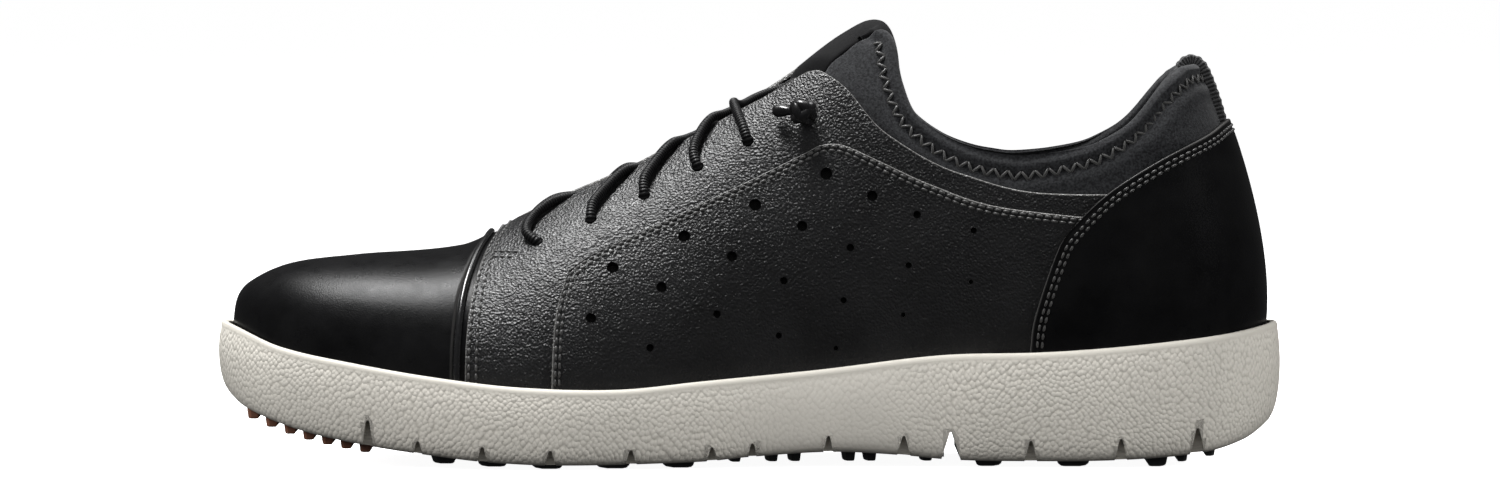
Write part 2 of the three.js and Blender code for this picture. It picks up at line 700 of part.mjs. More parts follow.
const TOE_NUB_HEIGHT = 2.2;
const TOE_ROWS = [-131, -124, -117, -101].map(
  (x) => ({ x, length: 4, bottom: soleBottom(x) - TOE_NUB_HEIGHT, count: 4 }));
const FOREFOOT_ROWS = [[-84.7, 7.5, 1.4], [-66, 10, 0.7], [-45, 10.5, 0], [-22, 11.5, 0]].map(
  ([x, length, bottom]) => ({ x, length, bottom, count: 4 }));
const WAIST_ROWS = [6, 30, 50].map((x) => ({ x, length: 6, bottom: 1.2, count: 3 }));
const HEEL_ROWS = [[68, 9, 0], [92, 11, 0], [116, 6, 0], [133, 3.4, 2.8]].map(
  ([x, length, bottom]) => ({ x, length, bottom, count: 4 }));

// ---------------------------------------------------------------- assembly

const group = new THREE.Group();

function add(name, shape, colour, roughness) {
  const geometry = shape.isBufferGeometry ? shape : toGeometry(shape);
  const material = new THREE.MeshStandardMaterial({ color: colour, roughness, metalness: 0 });
  const mesh = new THREE.Mesh(geometry, material);
  mesh.name = name;
  group.add(mesh);
}

const CREAM = 0xcdc8be;
const BLACK = 0x161617;
const GRAPHITE = 0x2c2d2e;
const BROWN = 0x5a3527;
const KNIT = 0x1c1d1f;
const LINING_GREY = 0x3a3b3d;
const STIFFENER_TAN = 0x8f8775;

const route = lacePoints();
const laceSteps = 80;
const lace = rod(route, LACE_DIAMETER / 2, laceSteps);
const laceRoom = toSolid(rod(route, LACE_DIAMETER / 2 + GAP, laceSteps));

add('midsole', midsole(), CREAM, 0.75);
add('outsole_toe', tread(-135, -97, TOE_ROWS), BROWN, 0.6);
add('outsole_forefoot', tread(-91, -12.5, FOREFOOT_ROWS), GRAPHITE, 0.6);
add('outsole_waist', tread(-8.7, 55, WAIST_ROWS), GRAPHITE, 0.6);
add('outsole_heel', tread(59.5, 150, HEEL_ROWS), GRAPHITE, 0.6);
add('insole_board', insideSheet(-4, GAP - FLOOR_DROP, 1.8), 0xa89f8d, 0.9);
add('footbed_foam', insideSheet(-4.6, 2.1, 6.4), 0x3c3f44, 0.9);
add('footbed_cover', insideSheet(-4.6, 6.7, 7.7), GRAPHITE, 0.9);
add('toe_cap', toeCap(), BLACK, 0.35);
add('toe_piping', toePiping(), BLACK, 0.2);
add('toe_puff', toePuff(), STIFFENER_TAN, 0.8);
add('vamp', vamp(), BLACK, 0.45);
add('vamp_lining', vampLining(), LINING_GREY, 0.9);
for (const side of Object.keys(SIDES)) {
  add(`interlining_${side}`, interlining(side), 0x7b776c, 0.9);
  add(`quarter_${side}`, quarter(side), BLACK, 0.45);
  add(`quarter_lining_${side}`, quarterLining(side), LINING_GREY, 0.9);
  add(`lace_knot_${side}`, knot(side), BLACK, 0.25);
}
add('heel_panel', heelPanel(), BLACK, 0.35);
add('heel_counter', heelCounter(), STIFFENER_TAN, 0.8);
add('bootie_collar', bootieCollar(), KNIT, 0.95);
add('tongue_panel', tonguePanel(), KNIT, 0.95);
add('tongue_top', tongueTop(), KNIT, 0.95);
add('heel_tab', heelTab(), BLACK, 0.7);
add('elastic_lace', lace, BLACK, 0.6);

export default group;
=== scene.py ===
"""Looks for a spikeless golf shoe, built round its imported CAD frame.

Shapes are worked out in millimetres from the same driving sizes as the CAD part and turned into metres when
a mesh is made. The toe points to -X, the inner (medial) side is at -Y and the tread stands on Z = 0.
"""

import math

import bmesh
import bpy
import numpy as np
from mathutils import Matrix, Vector


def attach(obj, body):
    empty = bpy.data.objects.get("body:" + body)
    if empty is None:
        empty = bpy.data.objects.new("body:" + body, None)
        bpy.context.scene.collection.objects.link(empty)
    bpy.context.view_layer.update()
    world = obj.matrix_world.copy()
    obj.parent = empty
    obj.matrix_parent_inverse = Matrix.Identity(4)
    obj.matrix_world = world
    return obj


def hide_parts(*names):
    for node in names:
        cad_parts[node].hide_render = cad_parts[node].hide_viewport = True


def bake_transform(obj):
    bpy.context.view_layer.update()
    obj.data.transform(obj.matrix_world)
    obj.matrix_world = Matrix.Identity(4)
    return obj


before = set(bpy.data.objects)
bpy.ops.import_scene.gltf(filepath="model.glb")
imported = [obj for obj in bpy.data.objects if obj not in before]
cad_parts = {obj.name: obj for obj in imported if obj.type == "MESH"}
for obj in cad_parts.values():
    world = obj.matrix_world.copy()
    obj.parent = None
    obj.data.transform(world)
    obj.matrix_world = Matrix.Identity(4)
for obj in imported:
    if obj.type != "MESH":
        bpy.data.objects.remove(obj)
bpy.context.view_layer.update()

MM = 0.001

# ---------------------------------------------------------------- driving sizes

TOE_TIP_X = -148.0
HEEL_TIP_X = 144.3
PLAN_MIDDLE = (TOE_TIP_X + HEEL_TIP_X) / 2
PLAN_HALF = (HEEL_TIP_X - TOE_TIP_X) / 2
FAN_START_X = 60.0
FEATHER_DEPTH = 5.0
MEDIAL, LATERAL = -1, 1
SIDES = {"medial": MEDIAL, "lateral": LATERAL}

# Each layer of the upper lies between two distances from the base surface, outward positive.
LEATHER = (-1.2, 0.0)
OVERLAY = (0.1, 1.3)
HEEL_OVERLAY = (1.45, 2.8)
STIFFENER = (-2.3, -1.5)
LINING = (-3.4, -2.6)
NEOPRENE = (-5.4, -2.6)
TONGUE = (-9.4, -6.6)
# The lace's centre line where it runs under the facings.
LACE_UNDER = -4.45
LACE_DIAMETER = 2.8
KNOT_DIAMETER = 7.0

# How finely the surface is searched: the step of a slope, the tries of a bisection, and for Newton's method
# its step, its tries and the longest move of one try.
STEP = 1e-3
HALVINGS = 30
FINE_STEP = 1e-4
NEWTON_TRIES = 14
LONGEST_MOVE = 0.05


# ---------------------------------------------------------------- curves

def profile(knots):
    """A smooth function through (x, value) knots: cubic Hermite with slopes from the neighbours."""
    xs, ys = np.array(knots, float).T
    last = len(xs) - 1
    low = np.maximum(np.arange(last + 1) - 1, 0)
    high = np.minimum(np.arange(last + 1) + 1, last)
    slopes = (ys[high] - ys[low]) / (xs[high] - xs[low])

    def value(x):
        x = np.clip(x, xs[0], xs[-1])
        i = np.clip(np.searchsorted(xs, x, side="right") - 1, 0, last - 1)
        h = xs[i + 1] - xs[i]
        s = (x - xs[i]) / h
        s2, s3 = s * s, s * s * s
        return ((2 * s3 - 3 * s2 + 1) * ys[i] + (s3 - 2 * s2 + s) * h * slopes[i]
                + (3 * s2 - 2 * s3) * ys[i + 1] + (s3 - s2) * h * slopes[i + 1])

    return value


SMOOTH_STEPS = 12


def smooth(points, steps=SMOOTH_STEPS):
    """Points along a uniform Catmull-Rom curve through a few outline points."""
    p = np.array(points, float)
    p = np.vstack([p[:1], p, p[-1:]])
    s = np.arange(steps)[:, None] / steps
    runs = []
    for i in range(len(points) - 1):
        a, b, c, d = p[i:i + 4]
        runs.append(b + 0.5 * s * (c - a + s * (2 * a - 5 * b + 4 * c - d + s * (3 * (b - c) + d - a))))
    return np.vstack([*runs, p[-1:]])


def smoothstep(x):
    x = np.clip(x, 0, 1)
    return x * x * (3 - 2 * x)


def unit(v):
    return v / np.maximum(np.linalg.norm(v, axis=-1, keepdims=True), 1e-12)


def arc_lengths(points):
    """Distance along a line of points, from its start."""
    return np.concatenate([[0], np.cumsum(np.linalg.norm(np.diff(points, axis=0), axis=1))])


def at_lengths(line, lengths, places):
    """Points of a line at distances along it."""
    return np.stack([np.interp(places, lengths, column) for column in line.T], -1)


# ---------------------------------------------------------------- the lasted upper surface

def x_at(angle):
    return PLAN_MIDDLE - PLAN_HALF * np.cos(angle)


def angle_at(x):
    return np.arccos(np.clip((PLAN_MIDDLE - x) / PLAN_HALF, -1, 1))


centre_y = profile([(-148, -7), (-110, -5), (-60, -1), (0, 1), (50, 1.5), (100, 0), (144.3, 0)])
fullness_medial = profile([(-148, 64), (-115, 57), (-85, 54.8), (-55, 53.1), (-20, 43.5), (15, 36),
                           (50, 35.5), (85, 43), (115, 56), (130, 67), (144.3, 72)])
fullness_lateral = profile([(-148, 62), (-115, 58), (-85, 55.2), (-55, 54.2), (-20, 48.8), (15, 44),
                            (50, 41.5), (85, 46), (115, 57), (130, 67), (144.3, 72)])
rim_height = profile([(-152, 41.2), (-146.8, 39.6), (-133, 34.1), (-111.8, 29.8), (-88.9, 26.1),
                      (-66, 23.5), (-37, 22.7), (-14.3, 24.7), (20, 27.8), (54.5, 31.8), (83, 32.7),
                      (106, 34.4), (134.8, 37.6), (152, 40.6)])
RIDGE = [(-148, 35), (-147.3, 45), (-145.7, 49.3), (-142.2, 52.5), (-131, 57.3), (-112, 59.7), (-83, 62.2),
         (-72, 67), (-58, 75.2), (-30, 88.5), (3, 109), (25, 125.5), (50, 137.5), (102, 145)]
ridge_by_root = profile([(math.sqrt(x - TOE_TIP_X), z) for x, z in RIDGE])
bulge = profile([(-148, 0.05), (-60, 0.04), (0, 0.03), (60, 0.035), (144.3, 0.0735)])
rise = profile([(-148, 0.62), (-90, 0.55), (-60, 0.45), (0, 0.42), (60, 0.36), (144.3, 0.303)])
spread = profile([(-148, 0.6), (-90, 0.6), (-60, 0.58), (0, 0.64), (40, 0.66), (90, 0.72), (144.3, 0.433)])


def feather_height(x):
    return rim_height(x) - FEATHER_DEPTH


def ridge_height(x):
    return ridge_by_root(np.sqrt(np.maximum(0, x - TOE_TIP_X)))


def ridge_x(x):
    """The ridge keeps pace with the wall up to the ankle, then slows, so the sections fan round the heel."""
    run = HEEL_TIP_X - FAN_START_X
    q = (x - FAN_START_X) / run
    return np.where(x <= FAN_START_X, x, FAN_START_X + run * (q - q * q / 2))


def base(side, angle, t):
    """A point of the base surface: an angle along the shoe, and t from 0 at the feather line to 1 on top."""
    side, angle, t = np.broadcast_arrays(np.asarray(side, float), angle, t)
    x = x_at(angle)
    half = np.where(side < 0, fullness_medial(x), fullness_lateral(x)) * np.sin(angle)
    foot = np.stack([x, centre_y(x) + side * half, feather_height(x)], -1)
    top_x = ridge_x(x)
    top = np.stack([top_x, centre_y(top_x), ridge_height(top_x)], -1)
    height = np.maximum(0, top[..., 2] - foot[..., 2])[..., None]
    level = (foot - top) * [1, 1, 0]
    far = np.linalg.norm(level, axis=-1, keepdims=True) > 1e-9
    across = np.stack([0 * side, side, 0 * side], -1)
    outward = np.where(far, unit(level), across)
    wall = foot + outward * bulge(x)[..., None] * height
    wall[..., 2:] += rise(x)[..., None] * height
    brow = top + level * spread(x)[..., None]
    t = t[..., None]
    s = 1 - t
    return s ** 3 * foot + 3 * s * s * t * wall + 3 * s * t * t * brow + t ** 3 * top


def normal(side, angle, t):
    side, angle, t = np.broadcast_arrays(np.asarray(side, float), angle, t)
    a0, a1 = np.maximum(angle - STEP, STEP / 2), np.minimum(angle + STEP, math.pi)
    along = base(side, a1, t) - base(side, a0, t)
    up = base(side, angle, np.minimum(t + STEP, 1)) - base(side, angle, np.maximum(t - STEP, 0))
    n = unit(np.cross(along, up)) * -side[..., None]
    x = ridge_x(x_at(angle))
    slope = ridge_height(x + 0.5) - ridge_height(x - 0.5)
    on_top = unit(np.stack([-slope, 0 * slope, 1 + 0 * slope], -1))
    n = np.where((t > 1 - STEP)[..., None], on_top, n)
    n = unit(n * np.where(angle > math.pi - STEP, 0, 1)[..., None] ** np.array([0, 1, 0]))
    return np.where((angle < STEP)[..., None], [-1.0, 0, 0], n)


def surf(side, angle, t, distance):
    """A point at a distance off the base surface."""
    distance = np.asarray(distance, float)
    return base(side, angle, t) + normal(side, angle, t) * distance[..., None]


GUESS_A, GUESS_T = np.meshgrid(np.linspace(0.02, math.pi - 0.02, 160), np.linspace(0, 1, 50), indexing="ij")
GUESSES = {s: base(s, GUESS_A, GUESS_T)[..., [0, 2]].reshape(-1, 2) for s in SIDES.values()}


def invert(side, points, distance=0.0):
    """(angle, t) of the places that points of the side view have on one side of the upper."""
    points = np.atleast_2d(np.array(points, float))
    gaps = ((GUESSES[side][None] - points[:, None]) ** 2).sum(-1)
    best = gaps.argmin(1)
    a, t = GUESS_A.ravel()[best].copy(), GUESS_T.ravel()[best].copy()

    def at(a, t):
        return surf(side, a, t, distance)[..., [0, 2]]

    for _ in range(NEWTON_TRIES):
        here = at(a, t)
        da = (at(a + FINE_STEP, t) - here) / FINE_STEP
        dt = (here - at(a, t - FINE_STEP)) / FINE_STEP
        miss = points - here
        det = da[:, 0] * dt[:, 1] - da[:, 1] * dt[:, 0]
        det = np.where(abs(det) < 1e-6, 1e-6, det)
        move_a = (miss[:, 0] * dt[:, 1] - miss[:, 1] * dt[:, 0]) / det
        move_t = (da[:, 0] * miss[:, 1] - da[:, 1] * miss[:, 0]) / det
        a = np.clip(a + np.clip(move_a, -LONGEST_MOVE, LONGEST_MOVE), 0.001, math.pi - 0.001)
        t = np.clip(t + np.clip(move_t, -LONGEST_MOVE, LONGEST_MOVE), 0, 1)
    return np.stack([a, t], -1)


def last_t(angle, holds):
    """For each column, the greatest t up to which a condition holds."""
    low, high = np.zeros_like(angle), np.ones_like(angle)
    for _ in range(HALVINGS):
        t = (low + high) / 2
        yes = holds(t)
        low, high = np.where(yes, t, low), np.where(yes, high, t)
    return low


def t_on_line(side, angle, line, distance=0.0):
    """Where each column of the surface meets a side-view line that gives a height for every x."""
    def under(t):
        p = surf(side, angle, t, distance)
        return p[..., 2] < line(p[..., 0])

    return last_t(angle, under)


def t_at_width(side, angle, width):
    """Where each column is a given width away from the centre line of the plan."""
    return last_t(angle, lambda t: abs(base(side, angle, t)[..., 1] - centre_y(x_at(angle))) > width)


def on_side(side, x, z, distance):
    a, t = invert(side, [(x, z)])[0]
    return surf(side, a, t, distance)


def on_top(x, y, distance):
    side = MEDIAL if y < centre_y(x) else LATERAL
    a = angle_at(x)
    return surf(side, a, t_at_width(side, np.array(a), abs(y - centre_y(x))), distance)


# ---------------------------------------------------------------- outlines in side view

seam_x = profile([(0, -83.5), (0.25, -83.2), (0.5, -81.7), (0.75, -78.4), (0.9, -75.6), (1, -74.6),
                  (1.1, -75.6)])
FACING_TOP = [(4, 125), (12, 118), (16.4, 113.6), (20.4, 112.4), (27.5, 107.4), (35.3, 97.9), (41.7, 92.8),
              (51.3, 87), (60.8, 83.2), (79.7, 78.3), (108, 77.6)]
QUARTER_FRONT = [(-56.2, 10), (-55.4, 39.3), (-52.8, 52.2), (-50.5, 56.8)]
# The quarter stops at this place, under the heel panel.
QUARTER_END_X = 104
QUARTER_TOP = [(-50.5, 56.8), (-43, 61.7), (-28.4, 68.3), (0.9, 82), (15.5, 89.2), (20.1, 91.5), (25, 91.8),
               (30.1, 90.1), (37.6, 86.6), (52.2, 80), (71.1, 74), (108, 70)]
HEEL_FRONT = [(78, 15), (79.4, 34.1), (80.9, 43.6), (86.3, 59.7), (90.3, 66.8)]
HEEL_TOP = [(90.3, 66.8), (101.2, 77.7), (116.2, 87.2), (130.8, 94.4), (137.4, 98.4), (150, 103)]
TOPLINE = [(37.6, 124.4), (39.6, 123.6), (41.3, 120.5), (42.2, 115), (43.4, 109.5), (46.2, 102.1),
           (50.3, 97.4), (57.6, 92.3), (65, 89.3), (72.3, 87.8), (79.6, 87.5), (94.2, 90.4), (101.5, 93.7),
           (108.9, 98.9), (116.2, 107.6), (119.9, 111.3), (123.5, 113.1), (140, 113.5)]
BOOTIE_BOTTOM = [(13, 56), (20, 58), (50, 61), (80, 60), (110, 64), (160, 76)]
BOOTIE_FRONT = [(13, 56), (13.3, 70), (15.5, 84), (18.5, 96), (20.9, 111.5), (26.8, 117.6), (31.4, 120.9),
                (34.5, 123), (37.6, 124.4)]
TONGUE_EDGE = [(-69, 46), (-45, 54), (-20, 62), (0, 71), (6, 75)]


def joined(front, top):
    """A front edge and a top edge as one smooth line, split where they meet."""
    line = smooth([*front, *top[1:]])
    cut = SMOOTH_STEPS * (len(front) - 1)
    return line[:cut + 1], line[cut:]


def height_line(points):
    """A line of side-view points as a height for every x."""
    p = points[np.argsort(points[:, 0])]
    return lambda x: np.interp(x, p[:, 0], p[:, 1])


# ---------------------------------------------------------------- patches of the surface

# The extra rows of a grid beside a rounded edge: their distances from it in radii, and the least gap in mm.
NEAR_EDGE = np.array([0.1, 0.35, 0.7, 1.0, 1.8, 2.8])
SMALLEST_GAP = 0.02


def fractions(count, length, soft=(True, True), radius=0.5):
    """Places from 0 to 1 along a patch of a length in mm: even ones, and extra ones close to soft ends."""
    near = NEAR_EDGE * radius / length
    extra = [near] if soft[0] else []
    extra += [1 - near] if soft[1] else []
    places = np.unique(np.concatenate([np.linspace(0, 1, count + 1), *extra]))
    keep = np.concatenate([[True], np.diff(places) > SMALLEST_GAP / length])
    return places[keep]


def along(line, side, places):
    """(angle, t) points of a line at fractions of its length on the surface."""
    lengths = arc_lengths(surf(side, line[:, 0], line[:, 1], 0.0))
    return at_lengths(line, lengths, places * lengths[-1])


def fill(side, bottom, top, front, rear, us, vs):
    """A grid of (angle, t) between four edge lines of a patch."""
    b, c = along(bottom, side, us)[:, None], along(top, side, us)[:, None]
    f, r = along(front, side, vs)[None], along(rear, side, vs)[None]
    u, v = us[:, None, None], vs[None, :, None]
    corners = (1 - u) * (1 - v) * b[:1] + u * (1 - v) * b[-1:] + (1 - u) * v * c[:1] + u * v * c[-1:]
    return (1 - v) * b + v * c + (1 - u) * f + u * r - corners


def edge_distances(points):
    """How far each point of a grid is from the grid's four edges, along the grid's own lines."""
    du = np.linalg.norm(np.diff(points, axis=0), axis=-1)
    dv = np.linalg.norm(np.diff(points, axis=1), axis=-1)
    zero_u, zero_v = np.zeros((1, points.shape[1])), np.zeros((points.shape[0], 1))
    u0 = np.concatenate([zero_u, np.cumsum(du, 0)], 0)
    v0 = np.concatenate([zero_v, np.cumsum(dv, 1)], 1)
    return {"u0": u0, "u1": u0[-1:] - u0, "v0": v0, "v1": v0[:, -1:] - v0}


# The four edge lines of a grid of points.
EDGES = {"u0": (0, slice(None)), "u1": (-1, slice(None)), "v0": (slice(None), 0), "v1": (slice(None), -1)}
FAR_AWAY = 1e3
# How far the light cut edge of a sheet, its own colour plus painted highlight, reaches inward, in radii of
# its rounding.
RIM_REACH = 1.2
# Points of a body that lie closer than this, in mm, become one.
WELD = 1e-3


class Solid:
    """Collects the skins and walls of one closed body, then makes its mesh.

    Every point has a rim value: how close it is to a cut edge, or on a cord its distance along the cord. A
    body may also have runs, each point's distance round the sole.
    """

    def __init__(self):
        self.points, self.faces, self.rims, self.count = [], [], [], 0
        self.runs = None

    def skin(self, points, rim=None):
        """A grid of points with the quads between them; gives back the points' numbers."""
        ids = self.count + np.arange(points.shape[0] * points.shape[1]).reshape(points.shape[:2])
        self.points.append(points.reshape(-1, 3))
        self.rims.append(np.zeros(ids.size) if rim is None else rim.ravel())
        self.count += ids.size
        quads = np.stack([ids[:-1, :-1], ids[1:, :-1], ids[1:, 1:], ids[:-1, 1:]], -1).reshape(-1, 4)
        self.faces.append(quads)
        return ids

    def wall(self, first, second):
        """Quads between two lines of points."""
        self.faces.append(np.stack([first[:-1], first[1:], second[1:], second[:-1]], -1))

    def walls_between(self, first, second):
        """Closes two skins round all four edges."""
        for line in EDGES.values():
            self.wall(first[line], second[line])

    def ribbon(self, side, grid, layer, rounded=(), walls=tuple(EDGES), radius=0.5, shape=None,
               inner_shape=None, welded=None):
        """A sheet of material over a grid of (angle, t), with rounded edges and the walls that close it.

        shape and inner_shape push the two skins outward. welded marks the columns whose far end joins the
        other side of the shoe instead of being an edge.
        """
        a, t = grid[..., 0], grid[..., 1]
        root, out = base(side, a, t), normal(side, a, t)
        gaps = edge_distances(root)
        if welded is not None:
            gaps["v1"] = np.where(welded[:, None], FAR_AWAY, gaps["v1"])
        edge = np.minimum.reduce([gaps[k] for k in rounded]) if rounded else np.full(a.shape, FAR_AWAY)
        near = np.clip(radius - edge, 0, radius)
        drop = radius - np.sqrt(np.maximum(0, radius ** 2 - near ** 2))
        push = shape(edge, root) if shape else 0
        inner_push = inner_shape(edge, root) if inner_shape else 0
        outer = root + out * (layer[1] - drop + push)[..., None]
        inner = root + out * (layer[0] + inner_push + 0 * edge)[..., None]
        rim = np.clip(1 - edge / (RIM_REACH * radius), 0, 1)
        top, under = self.skin(outer, rim), self.skin(inner)
        for name in walls:
            one, two = top[EDGES[name]], under[EDGES[name]]
            if name == "v1" and welded is not None:
                open_run = np.flatnonzero(~welded)
                start = max(open_run[0] - 1, 0)
                one, two = one[start:], two[start:]
            self.wall(one, two)

    def tube(self, centres, radii, sides=14, up=(0.0, 0.0, 1.0)):
        """A round cord along points, closed at both ends."""
        centres = np.asarray(centres, float)
        ahead = unit(np.gradient(centres, axis=0))
        across = np.cross(ahead[0], up)
        if np.linalg.norm(across) < 1e-3:
            across = np.cross(ahead[0], [0.0, 1.0, 0.0])
        frames = []
        for d in ahead:
            across = unit(across - d * (across @ d))
            frames.append(across)
        first = np.array(frames)
        second = np.cross(ahead, first)
        turn = np.arange(sides) / sides * 2 * math.pi
        radii = np.broadcast_to(radii, len(centres))[:, None, None]
        ring = (centres[:, None] + radii * (np.cos(turn)[None, :, None] * first[:, None]
                                            + np.sin(turn)[None, :, None] * second[:, None]))
        ids = self.count + np.arange(len(centres) * sides).reshape(-1, sides)
        self.points.append(ring.reshape(-1, 3))
        self.rims.append(np.repeat(arc_lengths(centres), sides))
        self.count += ids.size
        nxt = np.roll(ids, -1, 1)
        self.faces.append(np.stack([ids[:-1], nxt[:-1], nxt[1:], ids[1:]], -1).reshape(-1, 4))
        self.faces.append([tuple(ids[0][::-1])])
        self.faces.append([tuple(ids[-1])])

    def mesh(self, name, weld):
        """The body's mesh in metres; points closer than the weld distance in mm become one."""
        points = np.vstack(self.points)
        faces = [tuple(int(i) for i in f) for group in self.faces for f in group]
        made = bpy.data.meshes.new(name)
        made.from_pydata((points * MM).tolist(), [], faces)
        values = {"rim": np.concatenate(self.rims)}
        if self.runs is not None:
            values["run"] = self.runs
        for attribute, numbers in values.items():
            layer = made.attributes.new(attribute, "FLOAT", "POINT")
            layer.data.foreach_set("value", numbers.astype(np.float32))
        work = bmesh.new()
        work.from_mesh(made)
        if weld:
            bmesh.ops.remove_doubles(work, verts=work.verts, dist=weld * MM)
            bmesh.ops.dissolve_degenerate(work, edges=work.edges, dist=weld * MM)
        bmesh.ops.recalc_face_normals(work, faces=work.faces)
        work.to_mesh(made)
        work.free()
        return made


# ---------------------------------------------------------------- objects

# Where the bend of the forefoot and the fold of the tongue start and end, in metres.
FLEX = ((-0.045, 0, 0.024), (-0.115, 0, 0.024))
FOLD = ((0.020, 0, 0.104), (0.0179, 0, 0.1239))


def shade(mesh, sharp):
    """Smooth shading, apart from edges sharper than an angle in degrees."""
    mesh.shade_smooth()
    mesh.set_sharp_from_angle(angle=math.radians(sharp))


def new_object(name, solid, weld=WELD, sharp=40):
    """A body made into an object; weld=0 keeps every point."""
    obj = bpy.data.objects.new(name, solid.mesh(name, weld))
    bpy.context.scene.collection.objects.link(obj)
    shade(obj.data, sharp)
    return obj


def combine(obj, tools, operation="DIFFERENCE", sharp=40):
    """Cuts tools from obj or joins them to it, and applies the result."""
    for tool in tools:
        modifier = obj.modifiers.new("combine", "BOOLEAN")
        modifier.operation = operation
        modifier.solver = "MANIFOLD"
        modifier.object = tool
    graph = bpy.context.evaluated_depsgraph_get()
    result = bpy.data.meshes.new_from_object(obj.evaluated_get(graph))
    obj.modifiers.clear()
    obj.data = result
    for tool in tools:
        bpy.data.objects.remove(tool)
    shade(result, sharp)


def settle(obj, material, nodes=(), motion="root"):
    """Gives a finished piece its material and hides the CAD nodes it stands for. A flex or fold piece only
    has its transform baked; any other piece is attached to the body it moves with.
    """
    if obj.data.materials:
        obj.data.materials[0] = material
    else:
        obj.data.materials.append(material)
    if nodes:
        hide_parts(*nodes)
    if motion == "flex":
        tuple(FLEX[0])
        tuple(FLEX[1])
        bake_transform(obj)
    elif motion == "fold":
        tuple(FOLD[0])
        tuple(FOLD[1])
        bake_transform(obj)
    else:
        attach(obj, motion)
    return obj


def piece(name, solid, material, nodes, motion, weld=WELD, sharp=40):
    return settle(new_object(name, solid, weld, sharp), material, nodes, motion)


# ---------------------------------------------------------------- materials

class Paint:
    """Builds one procedural material node by node."""

    def __init__(self, name):
        self.material = bpy.data.materials.new(name)
        self.material.use_nodes = True
        self.tree = self.material.node_tree
        self.shader = self.tree.nodes["Principled BSDF"]
        self.place = self.node("ShaderNodeTexCoord").outputs["Object"]

    def node(self, kind, inputs=(), **settings):
        made = self.tree.nodes.new(kind)
        for key, value in settings.items():
            setattr(made, key, value)
        for key, value in dict(inputs).items():
            self.put(made.inputs[key], value)
        return made

    def put(self, socket, value):
        if isinstance(value, bpy.types.NodeSocket):
            self.tree.links.new(value, socket)
        else:
            socket.default_value = value

    def set(self, **values):
        names = {"base": "Base Color", "rough": "Roughness", "specular": "Specular IOR Level",
                 "coat": "Coat Weight", "coat_rough": "Coat Roughness", "sheen": "Sheen Weight",
                 "sheen_rough": "Sheen Roughness", "normal": "Normal"}
        for key, value in values.items():
            self.put(self.shader.inputs[names[key]], value)
        return self.material

    def scaled(self, scale):
        mapping = self.node("ShaderNodeMapping", {"Vector": self.place})
        mapping.inputs["Scale"].default_value = scale
        return mapping.outputs["Vector"]

    def noise(self, scale, detail=3.0, distortion=0.0, place=None):
        return self.node("ShaderNodeTexNoise", {
            "Vector": place or self.place, "Scale": scale, "Detail": detail, "Roughness": 0.55,
            "Distortion": distortion}).outputs["Fac"]

    def cells(self, scale, random=1.0):
        values = {"Vector": self.place, "Scale": scale, "Randomness": random}
        return self.node("ShaderNodeTexVoronoi", values, feature="SMOOTH_F1").outputs["Distance"]

    def mottle(self, scale, detail, low=0, high=1):
        """A value that drifts between two limits over the surface."""
        return self.ramp(self.noise(scale, detail), 0.3, 0.7, low, high)

    def ramp(self, value, low, high, out_low, out_high):
        return self.node("ShaderNodeMapRange", {
            "Value": value, "From Min": low, "From Max": high, "To Min": out_low,
            "To Max": out_high}).outputs["Result"]

    def blend(self, amount, one, two):
        made = self.node("ShaderNodeMix", data_type="RGBA")
        self.put(made.inputs["Factor"], amount)
        self.put(made.inputs[6], one)
        self.put(made.inputs[7], two)
        return made.outputs[2]

    def math(self, operation, one, two=0.0):
        made = self.node("ShaderNodeMath", operation=operation)
        self.put(made.inputs[0], one)
        self.put(made.inputs[1], two)
        return made.outputs[0]

    def bump(self, height, depth_mm, strength=1.0, over=None):
        made = self.node("ShaderNodeBump", {"Height": height})
        made.inputs["Distance"].default_value = depth_mm * MM
        made.inputs["Strength"].default_value = strength
        if over is not None:
            self.put(made.inputs["Normal"], over)
        return made.outputs["Normal"]

    def attribute(self, name):
        return self.node("ShaderNodeAttribute", attribute_name=name).outputs["Fac"]


def colour(r, g, b):
    return (r, g, b, 1.0)


def grey(level):
    return colour(level, level, level)


def smooth_leather():
    """Black leather with fine pores and a lighter cut edge, partly its own colour and partly painted
    highlight.
    """
    p = Paint("smooth_leather")
    tone = p.blend(p.mottle(60.0, 4.0), colour(0.003, 0.003, 0.0032), colour(0.006, 0.006, 0.0063))
    # Painted highlight: the rim mask blends the cut edge toward light grey; this is partly the cut edge's
    # own colour.
    edge = p.math("MULTIPLY", p.attribute("rim"), 0.3)
    p.set(base=p.blend(edge, tone, colour(0.2, 0.195, 0.19)), rough=p.mottle(240.0, 5.0, 0.26, 0.34),
          specular=0.075)
    pores = p.bump(p.cells(2600.0), 0.05, 0.5)
    return p.set(normal=p.bump(p.noise(1500.0, 3.0), 0.06, 0.5, over=pores))


def grained_leather():
    """Black leather with a coarse embossed grain and a light cut edge, partly its own colour and partly
    painted highlight.
    """
    p = Paint("grained_leather")
    tone = p.blend(p.mottle(45.0, 4.0), colour(0.006, 0.006, 0.0063), colour(0.011, 0.011, 0.0115))
    # Painted highlight: the rim mask blends the cut edge toward light grey; this is partly the cut edge's
    # own colour.
    edge = p.math("MULTIPLY", p.attribute("rim"), 0.5)
    p.set(base=p.blend(edge, tone, colour(0.3, 0.295, 0.285)), rough=p.mottle(300.0, 4.0, 0.31, 0.40),
          specular=0.48)
    grain = p.bump(p.cells(1500.0), 0.38, 0.9)
    return p.set(normal=p.bump(p.noise(2200.0, 2.0, distortion=1.2), 0.15, 0.8, over=grain))


def knit():
    p = Paint("neoprene_knit")
    loops = p.cells(2300.0, random=0.6)
    heather = p.ramp(p.noise(1500.0, 2.0), 0.35, 0.65, 0, 1)
    p.set(base=p.blend(heather, colour(0.008, 0.008, 0.009), colour(0.027, 0.028, 0.030)), rough=0.92,
          specular=0.2, sheen=0.12, sheen_rough=0.5)
    return p.set(normal=p.bump(p.math("ADD", loops, p.noise(700.0, 3.0)), 0.12, 0.6))


